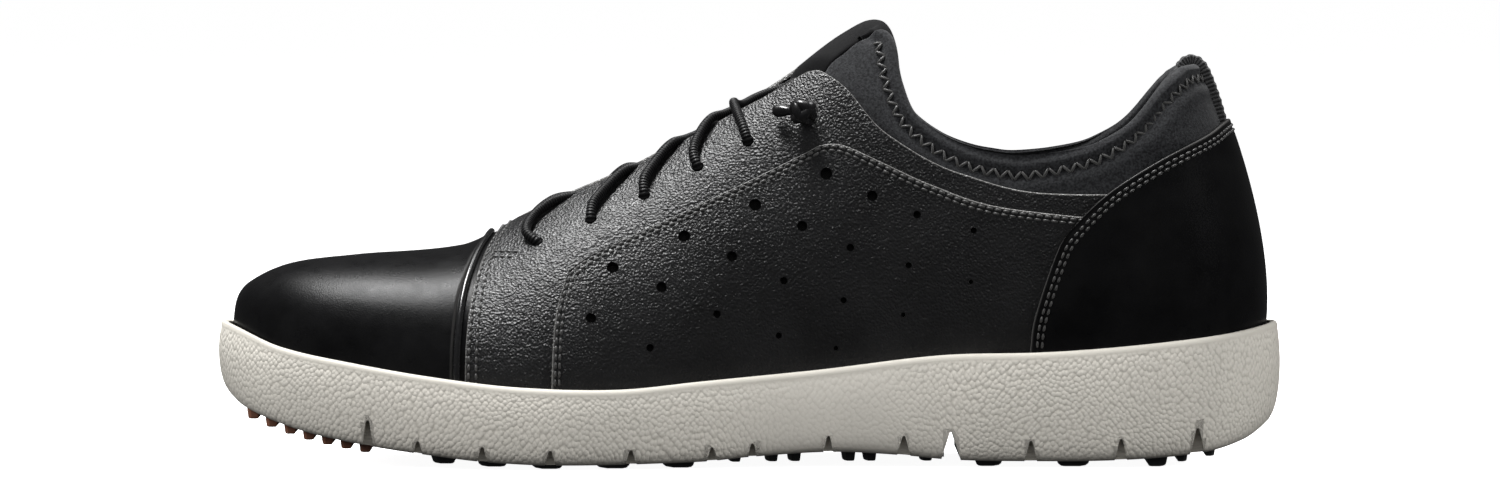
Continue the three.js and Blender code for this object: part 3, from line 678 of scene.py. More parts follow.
def gore():
    p = Paint("tongue_gore")
    rows = p.noise(1.0, 2.0, place=p.scaled((900.0, 2600.0, 900.0)))
    p.set(base=p.blend(rows, colour(0.003, 0.003, 0.0033), colour(0.008, 0.008, 0.0085)), rough=0.85,
          specular=0.12, sheen=0.03, sheen_rough=0.5)
    return p.set(normal=p.bump(rows, 0.08, 0.6))


# The foam's pebbles in mm along the sole and upward, and the place of the arch, where they fade.
PEBBLE_LENGTH, PEBBLE_HEIGHT, ARCH_X = 1.22, 1.4, 24
# The distance between ribs along the lace and along the webbing, in mm.
LACE_RIB, WEBBING_WEAVE = 0.85, 1.15


def pebbled_foam():
    """Cream foam with oval pebbles in slanting rows: laid out by the run round the sole and the height. The
    valleys between the pebbles, the smooth lip and the bottom edge get painted shade.
    """
    p = Paint("midsole_foam")
    split = p.node("ShaderNodeSeparateXYZ", {"Vector": p.place})
    flow = p.math("MULTIPLY", p.noise(22.0, 1.0), 10.0)
    run = p.math("MULTIPLY", p.attribute("run"), 1 / PEBBLE_LENGTH)
    across = p.math("ADD", run, p.math("MULTIPLY", flow, 0.5))
    upward = p.math("ADD", p.math("MULTIPLY", split.outputs["Z"], 1 / (PEBBLE_HEIGHT * MM)), flow)
    square = p.node("ShaderNodeCombineXYZ", {"X": across, "Y": upward}).outputs[0]
    turned = p.node("ShaderNodeVectorRotate", {"Vector": square, "Angle": math.pi / 4},
                    rotation_type="Z_AXIS").outputs[0]
    pebbles = p.node("ShaderNodeTexVoronoi", {"Vector": turned, "Scale": 1.0, "Randomness": 0.72},
                     voronoi_dimensions="2D", feature="F1").outputs["Distance"]
    arch = p.math("ABSOLUTE", p.math("SUBTRACT", split.outputs["X"], ARCH_X * MM))
    fade = p.ramp(arch, 0.012, 0.04, 0.3, 1.0)
    # The rim value smooths the pebbles on the lip and toward the bottom edge, and also darkens those places
    # as painted shade.
    lip = p.attribute("rim")
    amount = p.math("MULTIPLY", fade, p.math("SUBTRACT", 1.0, lip))
    dome = p.math("SUBTRACT", 1.0, p.math("POWER", p.ramp(pebbles, 0.0, 0.7, 0, 1), 2.0))
    # Painted shade: the valleys between the pebbles are darkened.
    painted_valley_shade = p.math("MULTIPLY", p.ramp(pebbles, 0.38, 0.72, 0, 0.45), amount)
    stain = p.ramp(p.noise(35.0, 3.0), 0.35, 0.7, 0, 1)
    light = p.blend(stain, colour(0.66, 0.63, 0.57), colour(0.61, 0.585, 0.53))
    pebbles_with_shade = p.blend(painted_valley_shade, light, colour(0.42, 0.40, 0.35))
    # Painted shade: the lip and the bottom edge are blended toward a darker cream.
    p.set(base=p.blend(lip, pebbles_with_shade, colour(0.56, 0.535, 0.48)),
          rough=p.mottle(400.0, 3.0, 0.55, 0.68), specular=0.35)
    return p.set(normal=p.bump(p.math("MULTIPLY", dome, amount), 0.27, 0.8))


def groove_shade_foam():
    p = Paint("groove_shade_foam")
    # Painted shade: the groove walls are a darker grey-olive than the foam around them.
    tone = p.blend(p.noise(500.0, 4.0), colour(0.36, 0.345, 0.29), colour(0.46, 0.44, 0.38))
    p.set(base=tone, rough=0.75)
    return p.set(normal=p.bump(p.noise(900.0, 3.0), 0.1, 0.5))


def rubber(name, dark, light):
    p = Paint(name)
    p.set(base=p.blend(p.noise(300.0, 4.0), dark, light),
          rough=p.mottle(500.0, 3.0, 0.45, 0.62), specular=0.4)
    return p.set(normal=p.bump(p.noise(1500.0, 4.0), 0.06, 0.5))


def lace_cover():
    p = Paint("lace_cover")
    run = p.attribute("rim")
    rib = p.math("SINE", p.math("MULTIPLY", run, 2 * math.pi / LACE_RIB))
    tone = p.blend(p.ramp(rib, -1, 1, 0, 1), colour(0.002, 0.002, 0.0022), colour(0.008, 0.008, 0.0085))
    p.set(base=tone, rough=p.mottle(2500.0, 3.0, 0.42, 0.55), specular=0.25)
    over = p.bump(p.noise(3000.0, 2.0), 0.05, 0.5)
    return p.set(normal=p.bump(rib, 0.11, 0.8, over=over))


def glossy(name, tone, rough):
    p = Paint(name)
    p.set(base=p.blend(p.noise(900.0, 3.0), colour(*[0.6 * c for c in tone]), colour(*tone)),
          rough=p.mottle(700.0, 3.0, rough * 0.75, rough * 1.2), specular=0.5, coat=0.2,
          coat_rough=0.15)
    return p.set(normal=p.bump(p.noise(900.0, 2.0), 0.05, 0.3))


def thread():
    p = Paint("thread")
    twist = p.noise(1.0, 2.0, place=p.scaled((4200.0, 4200.0, 4200.0)))
    p.set(base=p.blend(twist, grey(0.02), colour(0.07, 0.069, 0.067)),
          rough=0.45, specular=0.5, sheen=0.2, sheen_rough=0.4)
    return p.set(normal=p.bump(twist, 0.05, 0.6))


def cloth(name, dark, light, pitch_mm=0.6):
    p = Paint(name)
    scale = 2 * math.pi / (pitch_mm * MM)
    split = p.node("ShaderNodeSeparateXYZ", {"Vector": p.place})
    warp = p.math("SINE", p.math("MULTIPLY", split.outputs["X"], scale))
    weft = p.math("SINE", p.math("MULTIPLY", p.math("ADD", split.outputs["Y"], split.outputs["Z"]), scale))
    weave = p.math("MULTIPLY", warp, weft)
    tone = p.ramp(p.math("ADD", weave, p.noise(900.0)), -0.6, 1.6, 0, 1)
    p.set(base=p.blend(tone, dark, light), rough=0.9, specular=0.2, sheen=0.2, sheen_rough=0.5)
    return p.set(normal=p.bump(weave, 0.1, 0.6))


def webbing():
    p = Paint("webbing")
    run = p.attribute("rim")
    rib = p.math("SINE", p.math("MULTIPLY", run, 2 * math.pi / WEBBING_WEAVE))
    p.set(base=p.blend(p.ramp(rib, -1, 1, 0, 1), colour(0.007, 0.007, 0.0075), colour(0.04, 0.04, 0.041)),
          rough=0.75, specular=0.35, sheen=0.2, sheen_rough=0.4)
    return p.set(normal=p.bump(p.math("ADD", rib, p.noise(2500.0, 2.0)), 0.22, 0.8))


def board():
    p = Paint("fibre_board")
    p.set(base=p.blend(p.noise(500.0, 6.0), colour(0.30, 0.25, 0.18), colour(0.45, 0.40, 0.31)), rough=0.9)
    return p.set(normal=p.bump(p.noise(1200.0, 4.0), 0.08, 0.5))


M = {
    "smooth": smooth_leather(),
    "grained": grained_leather(),
    "knit": knit(),
    "gore": gore(),
    "foam": pebbled_foam(),
    "groove": groove_shade_foam(),
    "tread_dark": rubber("tread_dark", colour(0.018, 0.019, 0.02), colour(0.05, 0.052, 0.055)),
    "tread_brown": rubber("tread_brown", colour(0.15, 0.065, 0.04), colour(0.26, 0.12, 0.08)),
    "lace": lace_cover(),
    "knot": glossy("melted_lace", (0.008, 0.008, 0.0085), 0.3),
    "piping": glossy("piping", (0.01, 0.01, 0.0105), 0.24),
    "thread": thread(),
    "lining": cloth("lining_cloth", colour(0.03, 0.031, 0.033), colour(0.09, 0.092, 0.096), 0.8),
    "footbed": cloth("footbed_cloth", colour(0.025, 0.027, 0.03), colour(0.10, 0.105, 0.11), 1.0),
    "footbed_foam": rubber("footbed_foam", colour(0.03, 0.035, 0.05), colour(0.06, 0.066, 0.085)),
    "webbing": webbing(),
    "board": board(),
    "stiffener": cloth("stiffener_felt", grey(0.003), grey(0.008)),
}


# ---------------------------------------------------------------- toe cap, vamp, quarters, heel panel

# How far the toe cap's edge stays before the seam line and the vamp's edge behind it.
CAP_TUCK = 0.5
VAMP_SETBACK = 2.9

# The throat between the two facings: where its round front end starts, and that end's length.
THROAT_FRONT_X = -66.5
THROAT_ROUNDING = 8.0
throat_half = profile([(-66, 7), (-45, 9.5), (0, 12), (30, 15)])

# FACING_TOP bounds the facing behind the first place; it meets the throat in a rounded corner between the
# other two. The facing's rear edge ends at FACING_END.
FACING_TOP_X = 2
CORNER_X = (-5, 40)
CORNER_BLEND = 0.035
FACING_END = (107, 74)
# How far the vamp reaches under the quarter.
UNDERLAP = 9


def seam_angle(t, shift):
    return angle_at(seam_x(t) + shift)


def toe_cap():
    """The smooth cap over the toe, up to the seam."""
    us = fractions(110, 95, (False, True))
    ts = np.linspace(0, 1, 47)
    angles = us[:, None] * seam_angle(ts, -CAP_TUCK)[None]
    grid = np.stack([angles, np.broadcast_to(ts, angles.shape)], -1)
    solid = Solid()
    for side in SIDES.values():
        solid.ribbon(side, grid, LEATHER, rounded=("u1",), walls=("u1", "v0"), radius=0.9)
    return piece("toe_cap_leather", solid, M["smooth"], ["toe_cap"], "flex")


def throat_width(x):
    """Half width of the throat in plan, with its round front end."""
    q = np.clip((THROAT_FRONT_X + THROAT_ROUNDING - x) / THROAT_ROUNDING, 0, 1)
    return throat_half(x) * np.sqrt(np.maximum(0, 1 - q * q))


def vamp_columns():
    """Angles of the columns of the vamp and facing behind the throat's front end."""
    round_end = THROAT_FRONT_X + THROAT_ROUNDING * (1 - np.cos(np.linspace(0, math.pi / 2, 12)))
    rear = invert(MEDIAL, [FACING_END])[0][0]
    return np.concatenate([angle_at(round_end), angle_at(np.linspace(-57.5, 58, 110)),
                           np.linspace(angle_at(59.2), rear, 44)])


def vamp_grid(side):
    """The grid of the vamp and facing of one side, and which of its columns reach the ridge.

    The part ahead of the throat runs from the seam to the throat's front end. The part behind it runs along
    the throat, round the facing's top corner and down its rear edge.
    """
    angles = vamp_columns()
    lower = smooth([(x + UNDERLAP, z - UNDERLAP) for x, z in [*QUARTER_FRONT[1:], *QUARTER_TOP[1:-1]]])
    low_line = height_line(np.vstack([lower[lower[:, 0] > -42], [(108, 60)]]))
    top_line = height_line(smooth(FACING_TOP))
    x = x_at(angles)
    bottom = t_on_line(side, angles, low_line) * smoothstep((x + 50) / 10)
    at_front = x < THROAT_FRONT_X + 0.1
    throat = np.where(at_front, 1.0, t_at_width(side, angles, throat_width(x)))
    facing = np.where(x > FACING_TOP_X, t_on_line(side, angles, top_line), 1.0)
    gap = np.clip(0.5 + 0.5 * (facing - throat) / CORNER_BLEND, 0, 1)
    top = facing * (1 - gap) + throat * gap - CORNER_BLEND * gap * (1 - gap)
    top = np.where((x < CORNER_X[0]) | (x > CORNER_X[1]), np.minimum(throat, facing), top)
    vs = fractions(44, 42, (False, True))
    ts = bottom[:, None] + (top - bottom)[:, None] * vs[None]
    rear_part = np.stack([np.broadcast_to(angles[:, None], ts.shape), ts], -1)
    us = fractions(16, 14, (True, False))[:-1]
    start = seam_angle(vs, VAMP_SETBACK)
    front_angles = start[None] + (angles[0] - start)[None] * us[:, None]
    front_part = np.stack([front_angles, np.broadcast_to(vs, front_angles.shape)], -1)
    welded = np.concatenate([np.ones(len(us), bool), at_front])
    return np.concatenate([front_part, rear_part]), welded


EYELETS = [(-60.5, 64), (-45.3, 70.3), (-30.1, 77.1), (-14.9, 85.2), (-0.6, 92.4), (16, 98.8)]
EYELET_RADIUS = 1.75
# Rows of holes in the quarter: the first hole, the step to the next one, how many, and their diameter.
PERFORATIONS = [((-38.9, 57.1), (20.2, 8.75), 4, 3.5), ((-44.9, 43.1), (19.9, 8.5), 5, 3.0),
                ((-28.2, 34.6), (18.9, 9.3), 5, 2.2), ((8.2, 37.7), (18.4, 9.9), 4, 1.8),
                ((24.4, 34.0), (19.1, 9.4), 3, 1.3)]
# How far cutters reach above the surface, and below it to go through the vamp and through the quarter.
CUT_ABOVE, CUT_VAMP, CUT_QUARTER = 4, -4, -1.5


def perforations(side, low, wider=0.0):
    """The cutters of the quarter's rows of holes, which grow smaller toward the heel and the sole."""
    return [punch(side, x + k * dx, z + k * dz, diameter / 2 + wider, low, OVERLAY[1])
            for (x, z), (dx, dz), count, diameter in PERFORATIONS for k in range(count)]


def punch(side, x, z, radius, low, layer=0.0):
    """A round cutter square to the surface, at a place of the side view seen on a layer."""
    a, t = invert(side, [(x, z)], layer)[0]
    solid = Solid()
    solid.tube([surf(side, a, t, low), surf(side, a, t, CUT_ABOVE)], radius, 28)
    return new_object("punch", solid, weld=0)


def hump(distance, height, middle, spread_mm):
    """A soft ridge round a middle place."""
    return height * np.exp(-((distance - middle) / spread_mm) ** 2)


def stitch_dip(depth, middle, spread_mm):
    """Leather pulled down along the stitch rows that run beside an edge."""
    return lambda edge, root: -hump(edge, depth, middle, spread_mm)


def vamp():
    """The vamp and its two lace facings, one leather piece, with the eyelets and the quarter's holes cut."""
    solid = Solid()
    for side in SIDES.values():
        grid, welded = vamp_grid(side)
        solid.ribbon(side, grid, LEATHER, rounded=("u0", "v1"), radius=0.45, welded=welded)
    obj = new_object("vamp_leather", solid)
    cutters = [punch(side, x, z, EYELET_RADIUS, CUT_VAMP) for side in SIDES.values() for x, z in EYELETS]
    for side in SIDES.values():
        cutters += perforations(side, CUT_VAMP, wider=0.15)
    combine(obj, cutters)
    return settle(obj, M["grained"], ["vamp"], "flex")


def from_feather(line):
    """A line of (angle, t) points without the part that lies under the feather line."""
    return line[np.argmax(line[:, 1] > 0) - 1:]


def quarter_edges(side):
    """The quarter's front and top edges on its outer face."""
    front, top = joined(QUARTER_FRONT, QUARTER_TOP)
    front_line = from_feather(invert(side, front, OVERLAY[1]))
    return front_line, invert(side, top[top[:, 0] < QUARTER_END_X], OVERLAY[1])


def quarter(name, side):
    """The perforated side panel, from its front edge back under the heel panel."""
    front, top = quarter_edges(side)
    end = top[-1]
    rear = np.stack([np.linspace(end[0] + 0.02, end[0], 30), np.linspace(0, end[1], 30)], -1)
    bottom = np.stack([np.linspace(front[0, 0], rear[0, 0], 200), np.zeros(200)], -1)
    us, vs = fractions(150, 160, (True, False)), fractions(46, 45, (False, True))
    grid = fill(side, bottom, top, front, rear, us, vs)
    solid = Solid()
    solid.ribbon(side, grid, OVERLAY, rounded=("u0", "v1"), radius=0.5, shape=stitch_dip(0.3, 1.5, 0.9))
    obj = new_object(f"quarter_leather_{name}", solid)
    combine(obj, perforations(side, CUT_QUARTER))
    return settle(obj, M["grained"], [f"quarter_{name}"], "flex")


def heel_edges(side):
    """The heel panel's front and top edges on its outer face."""
    front, top = joined(HEEL_FRONT, HEEL_TOP)
    front_line = from_feather(invert(side, front, HEEL_OVERLAY[1]))
    corner = front_line[-1]
    angles = np.linspace(corner[0], math.pi, 120)
    ts = t_on_line(side, angles, height_line(top), HEEL_OVERLAY[1])
    ts[0] = corner[1]
    return front_line, np.stack([angles, ts], -1)


def heel_panel():
    """The smooth panel round the heel, over the quarters' ends."""
    solid = Solid()
    for side in SIDES.values():
        front, top = heel_edges(side)
        rear = np.stack([np.full(40, math.pi), np.linspace(0, top[-1, 1], 40)], -1)
        bottom = np.stack([np.linspace(front[0, 0], math.pi, 160), np.zeros(160)], -1)
        us, vs = fractions(110, 95, (True, False)), fractions(46, 55, (False, True))
        grid = fill(side, bottom, top, front, rear, us, vs)
        solid.ribbon(side, grid, HEEL_OVERLAY, rounded=("u0", "v1"), walls=("u0", "v0", "v1"), radius=0.5,
                     shape=stitch_dip(0.25, 2.6, 1.1))
    return piece("heel_panel_leather", solid, M["smooth"], ["heel_panel"], "root")


# ---------------------------------------------------------------- bootie collar and tongue

def collar_edges(side):
    """The collar's front, top and bottom edges on its outer face."""
    layer = NEOPRENE[1]
    front = invert(side, smooth(BOOTIE_FRONT), layer)
    line = smooth(TOPLINE)
    ahead = line[line[:, 0] < 100]
    near = invert(side, ahead, layer)
    angles = np.linspace(near[-1, 0], math.pi, 60)[1:]
    far = t_on_line(side, angles, height_line(line[line[:, 0] > 60]), layer)
    top = np.vstack([near, np.stack([angles, far], -1)])
    low = height_line(smooth(BOOTIE_BOTTOM))
    bottom_angles = np.linspace(front[0, 0], math.pi, 160)
    bottom = np.stack([bottom_angles, t_on_line(side, bottom_angles, low, layer)], -1)
    front[0] = bottom[0]
    return front, top, bottom


def nearest(points, line):
    """Distance of each point of a grid to a line of points, worked out in parts to save memory."""
    found = np.concatenate([np.sqrt(((part[:, None] - line[None]) ** 2).sum(-1).min(1))
                            for part in np.array_split(points.reshape(-1, 3), 24)])
    return found.reshape(points.shape[:-1])


# The collar's section below its top edge: how far down its roll, its zig-zag seam and its padding lie.
ROLL_MM, SEAM_MM, PAD_MM = 1.9, 4.7, 8.5
COLLAR_ROUNDING = 1.3
HEEL_PAD_MM = 2.9


def heel_pad(place):
    """How far the padding swells outward up the back of the heel, under the webbing."""
    return HEEL_PAD_MM * smoothstep((place[..., 0] - 104) / 20) * smoothstep((place[..., 2] - 84) / 9)


def collar_outside(line):
    """The outer face of the collar: a roll, the seam's furrow and the padding below its top edge line."""
    def push(edge, root):
        d = nearest(root, line)
        return (hump(d, 0.6, ROLL_MM, 1.3) - hump(d, 0.6, SEAM_MM, 1.2) + hump(d, 0.4, PAD_MM, 2.2)
                + heel_pad(root))

    return push


def collar_inside(line):
    """The inner face of the collar: rounded at the edge, and swelling toward the foot below it."""
    def push(edge, root):
        d = nearest(root, line)
        return 1.4 * np.clip(1 - d / 1.4, 0, 1) ** 2 - hump(d, 0.6, 3.0, 2.0)

    return push


def collar():
    """The neoprene bootie: a padded sheet with a soft rolled edge, pulled in along its zig-zag seam."""
    solid = Solid()
    for side in SIDES.values():
        front, top, bottom = collar_edges(side)
        rear = np.stack([np.full(30, math.pi), np.linspace(bottom[-1, 1], top[-1, 1], 30)], -1)
        us = fractions(170, 150, (True, False))
        vs = fractions(64, 45, (False, True), radius=COLLAR_ROUNDING)
        grid = fill(side, bottom, top, front, rear, us, vs)
        line = base(side, *along(top, side, np.linspace(0, 1, 500)).T)
        solid.ribbon(side, grid, NEOPRENE, rounded=("u0", "v1"), walls=("u0", "v0", "v1"),
                     radius=COLLAR_ROUNDING, shape=collar_outside(line), inner_shape=collar_inside(line))
    obj = new_object("bootie_neoprene", solid, sharp=70)
    return settle(obj, M["knit"], ["bootie_collar"], "fold")


# Half width in plan of the black band down the middle of the tongue.
band_width = profile([(-10, 12.5), (18, 13.5), (21, 13.2), (27, 12), (33, 11)])
# The band's outer face lies at the first level under the lace and rises to the second.
BAND_LEVELS = (-6.8, -3.1)
BAND_THICKNESS = 2.6
BAND_ROUNDING = 1.1
# Side view of the band from where it leaves the ridge, over the crest and down inside the shoe.
TONGUE_CREST = [(31.6, 125.7), (33.8, 126.5), (36.2, 126.7), (38.4, 126.0), (40.2, 124.0), (41.5, 120.9),
                (42.4, 117), (43.1, 111), (44.3, 104)]
CREST_NARROWING = 0.22
CREST_PADDING = 2.6


def tongue_slope():
    """The outer and inner skin of the band up to the crest, as grids along x and across."""
    low, high = BAND_LEVELS
    edge = np.array([0.86, 0.91, 0.955, 0.985, 1])
    across = np.concatenate([-edge[::-1], np.linspace(-0.8, 0.8, 21), edge])
    x, w = np.meshgrid(np.linspace(-8, 27.5, 56), across, indexing="ij")
    width = band_width(x) * abs(w)
    angles = angle_at(x)
    side = np.where(w < 0, MEDIAL, LATERAL)
    t = np.where(side < 0, t_at_width(MEDIAL, angles, width), t_at_width(LATERAL, angles, width))
    t = np.where(width < 1e-6, 1.0, t)
    level = low + smoothstep((x - 4 - 0.9 * width) / 8) * (high - low)
    near = np.clip(BAND_ROUNDING - band_width(x) * (1 - abs(w)), 0, BAND_ROUNDING)
    drop = BAND_ROUNDING - np.sqrt(np.maximum(0, BAND_ROUNDING ** 2 - near ** 2))
    root, out = base(side, angles, t), normal(side, angles, t)
    return root + out * (level - drop)[..., None], root + out * (level - BAND_THICKNESS)[..., None]


def tongue_crest(outer, inner):
    """The rows of both skins over the crest: the last row of the slope carried along the crest's path."""
    start = outer[-1, outer.shape[1] // 2][[0, 2]]
    path = smooth([tuple(start), *TONGUE_CREST], 6)
    tangents = unit(np.gradient(path, axis=0))
    first = tangents[0]
    across = np.array([-first[1], first[0]])
    rows = ([], [])
    for k, (point, ahead) in enumerate(zip(path[1:], tangents[1:])):
        up = np.array([-ahead[1], ahead[0]])
        share = k / (len(path) - 2)
        scale = 1 - CREST_NARROWING * math.sin(math.pi * min(1, share * 1.6))
        for found, skin, padding in zip(rows, (outer, inner), (0, CREST_PADDING)):
            section = skin[-1][:, [0, 2]] - start
            deeper = padding * smoothstep(share / 0.5)
            flat = point + np.outer(section @ first, ahead) * scale + np.outer(section @ across - deeper, up)
            found.append(np.stack([flat[:, 0], outer[-1][:, 1] * scale, flat[:, 1]], -1))
    return [np.array(found) for found in rows]


def tongue_top():
    """The smooth band over the tongue: it climbs from under the lace to the bootie's top and rolls over."""
    slope = tongue_slope()
    solid = Solid()
    solid.walls_between(*(solid.skin(np.concatenate(parts)) for parts in zip(slope, tongue_crest(*slope))))
    obj = new_object("tongue_top_band", solid, sharp=70)
    return settle(obj, M["gore"], ["tongue_top"], "fold")


def tongue_panel():
    """The tongue under the lace."""
    solid = Solid()
    line = height_line(smooth(TONGUE_EDGE))
    angles = angle_at(np.linspace(-69, 5, 60))
    vs = fractions(26, 30, (True, False))
    for side in SIDES.values():
        low = t_on_line(side, angles, line, TONGUE[1])[:, None]
        grid = np.stack(np.broadcast_arrays(angles[:, None], low + (1 - low) * vs[None]), -1)
        solid.ribbon(side, grid, TONGUE, rounded=("u0", "u1", "v0"), walls=("u0", "u1", "v0"), radius=1.2)
    obj = new_object("tongue_lower", solid, sharp=70)
    return settle(obj, M["gore"], ["tongue_panel"], "flex")


# ---------------------------------------------------------------- layers inside

def columns(side, reach, top, count, rows):
    """A plain grid of columns between two places along the shoe, from the feather line up to top."""
    angles = np.linspace(*angle_at(np.array(reach)), count)
    ts = top(side, angles)[:, None] * np.linspace(0, 1, rows)[None]
    return np.stack(np.broadcast_arrays(angles[:, None], ts), -1)


def inside_layer(name, sides, reach, top, size, layer, kind, node, walls=tuple(EDGES), motion="flex"):
    """A plain layer inside the upper, from the feather line up to top, between two places along the shoe."""
    solid = Solid()
    for side in sides:
        solid.ribbon(side, columns(side, reach, top, *size), layer, walls=walls)
    return piece(name, solid, M[kind], [node], motion)


def inside_layers():
    """The stiffeners and linings inside the upper, which only show when the shoe is taken apart."""
    both = SIDES.values()

    def ridge(side, angles):
        return np.ones_like(angles)

    def below(line):
        return lambda side, angles: t_on_line(side, angles, line)

    def facing_top(side, angles):
        beside_throat = t_at_width(side, angles, throat_width(x_at(angles)) + 1.5)
        return np.minimum(beside_throat, t_on_line(side, angles, lambda x: facing(x) - 2.5))

    counter_top = height_line(np.array([(100, 76), (112, 80), (120, 87), (137, 92), (160, 94)], float))
    facing = height_line(smooth(FACING_TOP))
    bootie = height_line(smooth([(-66, 44), (-20, 48), *BOOTIE_BOTTOM]))
    inside_layer("toe_stiffener", both, (TOE_TIP_X, -95), ridge, (50, 24), STIFFENER, "stiffener",
                 "toe_puff", ("u1", "v0"))
    inside_layer("vamp_lining_cloth", both, (TOE_TIP_X, -70), ridge, (60, 24), LINING, "lining",
                 "vamp_lining", ("u1", "v0"))
    inside_layer("heel_stiffener", both, (116, HEEL_TIP_X), below(counter_top), (40, 24), LEATHER,
                 "stiffener", "heel_counter", ("u0", "v0", "v1"), "root")
    for name, side in SIDES.items():
        inside_layer(f"facing_backing_{name}", (side,), (-54, 112), facing_top, (110, 26), STIFFENER,
                     "stiffener", f"interlining_{name}")
        inside_layer(f"quarter_lining_cloth_{name}", (side,), (-69.5, HEEL_TIP_X), below(bootie), (160, 24),
                     LINING, "lining", f"quarter_lining_{name}")


# ---------------------------------------------------------------- lace and knots

def centripetal(points, spacing):
    """Points along a centripetal Catmull-Rom curve."""
    p = np.array(points, float)
    p = np.vstack([2 * p[0] - p[1], p, 2 * p[-1] - p[-2]])
    gaps = np.maximum(np.linalg.norm(np.diff(p, axis=0), axis=1), 1e-6)
    found = []

    def mix(one, two, low, high):
        return ((high - k) * one + (k - low) * two) / (high - low)

    for i in range(len(points) - 1):
        a, b, c, d = p[i:i + 4]
        k0, k1, k2, k3 = np.concatenate([[0], np.cumsum(np.sqrt(gaps[i:i + 3]))])
        k = np.linspace(k1, k2, max(2, int(gaps[i + 1] / spacing)), endpoint=False)[:, None]
        left = mix(mix(a, b, k0, k1), mix(b, c, k1, k2), k0, k2)
        right = mix(mix(b, c, k1, k2), mix(c, d, k2, k3), k1, k3)
        found.append(mix(left, right, k1, k2))
    return np.vstack([*found, p[-2:-1]])


# A strand's course from its eyelet to the next one across: the share of the way over, and the height there
# of a strand that starts on the medial side and of one that starts on the lateral side.
COURSE = [(0.06, 1.65, 1.65), (0.17, 1.7, 1.65), (0.25, 1.35, 1.2), (0.31, -0.9, -1.6), (0.40, -2.7, -4.6),
          (0.5, -3.2, -5.8), (0.59, -3.8, -5.6), (0.68, -4.4, -4.9), (0.76, -4.5, -4.5),
          (0.86, LACE_UNDER, LACE_UNDER), (0.95, LACE_UNDER, LACE_UNDER)]

# For each strand: how far it swings toward the toe, how far over it swings most, and the shares of the way
# over between which it moves back to the next eyelet.
SWING = [(6.5, 0.18, 0, 0.41), (0.0, 0.3, 0, 0.41), (1.5, 0.3, 0, 0.41), (5.0, 0.3, 0, 0.41),
         (3.6, 0.32, 0.34, 0.95)]


def strand(side, level):
    """Out of an eyelet, over the facing's edge and the tongue, and down under the other facing."""
    swing, widest, leaves, arrives = SWING[level]
    (x0, z0), (x1, z1) = EYELETS[level], EYELETS[level + 1]
    start, end = on_side(side, x0, z0, 0), on_side(-side, x1, z1, 0)
    found = [on_side(side, x0, z0, LACE_UNDER + 0.6), on_side(side, x0, z0, -0.4)]
    for over, medial, lateral in COURSE:
        x = start[0] + (end[0] - start[0]) * smoothstep((over - leaves) / (arrives - leaves))
        x -= swing * math.sin(math.pi * min(1, over / (2 * widest)))
        y = start[1] + (end[1] - start[1]) * over
        found.append(on_top(x, y, medial if side == MEDIAL else lateral))
    return found


def lace_half(side):
    """From the lowest eyelet of one side, strand by strand, out of a top eyelet and into its knot."""
    found = []
    for level in range(len(EYELETS) - 1):
        found += strand(side, level)
        side = -side
    return found + [on_side(side, *EYELETS[-1], height) for height in (LACE_UNDER + 0.6, -1, 2.2)]


def lace():
    """One cord: across the lowest pair of eyelets under the facings, then up to a knot on each side."""
    x = EYELETS[0][0]
    bottom = [on_top(x, centre_y(x) + y, LACE_UNDER) for y in (-12, 0, 12)]
    route = centripetal([*lace_half(MEDIAL)[::-1], *bottom, *lace_half(LATERAL)], 0.7)
    solid = Solid()
    solid.tube(route, LACE_DIAMETER / 2, 16)
    return piece("lace_cord", solid, M["lace"], ["elastic_lace"], "flex", weld=0, sharp=70)


KNOT_LIFT = 1.2
# The knot's wraps: how each ring of cord is turned about the knot's axis and how it leans.
KNOT_WRAPS = [(0.35, 0.3), (1.25, -0.5), (2.3, 0.75)]
WRAP_RADIUS, WRAP_CORD, CORE_RADIUS = KNOT_DIAMETER / 2 - 0.7, 1.5, 3.0
TAIL_REACH, TAIL_RADIUS, BEAD_RADIUS, STEM_RADIUS = 7.2, 1.25, 1.75, 1.35


def knot(name, side):
    """An overhand knot pulled into a ball, and a short melted tail that points to the toe."""
    x, z = EYELETS[-1]
    centre = on_side(side, x, z, KNOT_LIFT + KNOT_DIAMETER / 2)
    out = normal(side, *invert(side, [(x, z)])[0])
    upward = unit(np.array([0.0, 0.0, 1.0]) - out * out[2])
    ahead = np.cross(out, upward)
    solid = Solid()
    turn = np.linspace(0, 2 * math.pi, 60)[:, None]
    for tilt, lean in KNOT_WRAPS:
        one = ahead * math.cos(tilt) + upward * math.sin(tilt)
        two = unit(out * math.cos(lean) + np.cross(one, out) * math.sin(lean))
        solid.tube(centre + WRAP_RADIUS * (np.cos(turn) * one + np.sin(turn) * two), WRAP_CORD, 14)
    core = np.linspace(-0.98, 0.98, 13)
    solid.tube(centre + out * CORE_RADIUS * core[:, None], CORE_RADIUS * np.sqrt(1 - core ** 2), 18)
    tail_end = on_side(side, x - TAIL_REACH, z + 0.6, 3.0)
    tail = centripetal([centre + out * 0.4, (centre + tail_end) / 2 + out * 0.3, tail_end], 0.35)
    q = np.linspace(0, 1, len(tail))
    solid.tube(tail, TAIL_RADIUS + (BEAD_RADIUS - TAIL_RADIUS) * smoothstep((q - 0.55) / 0.3), 16)
    bead_way = unit(tail_end - tail[-4])
    swing = np.linspace(0, math.pi / 2, 8)
    bead = tail_end + bead_way * BEAD_RADIUS * np.sin(swing)[:, None]
    solid.tube(bead, BEAD_RADIUS * np.cos(0.98 * swing), 16)
    solid.tube(np.linspace(on_side(side, x, z, 0.6), centre, 8), STEM_RADIUS, 14)
    return piece(f"knot_{name}", solid, M["knot"], [f"lace_knot_{name}"], "root", weld=0, sharp=80)


# The piping in the toe cap's seam: its radius, how far behind the seam line it lies and how high.
PIPING_RADIUS, PIPING_SHIFT, PIPING_HEIGHT = 0.95, 0.6, 0.15
# The strip under the seam: its faces' heights, and how far it reaches before and behind the seam line.
SEAM_STRIP = (-1.15, -0.5)
SEAM_REACH = (-2.5, 5)


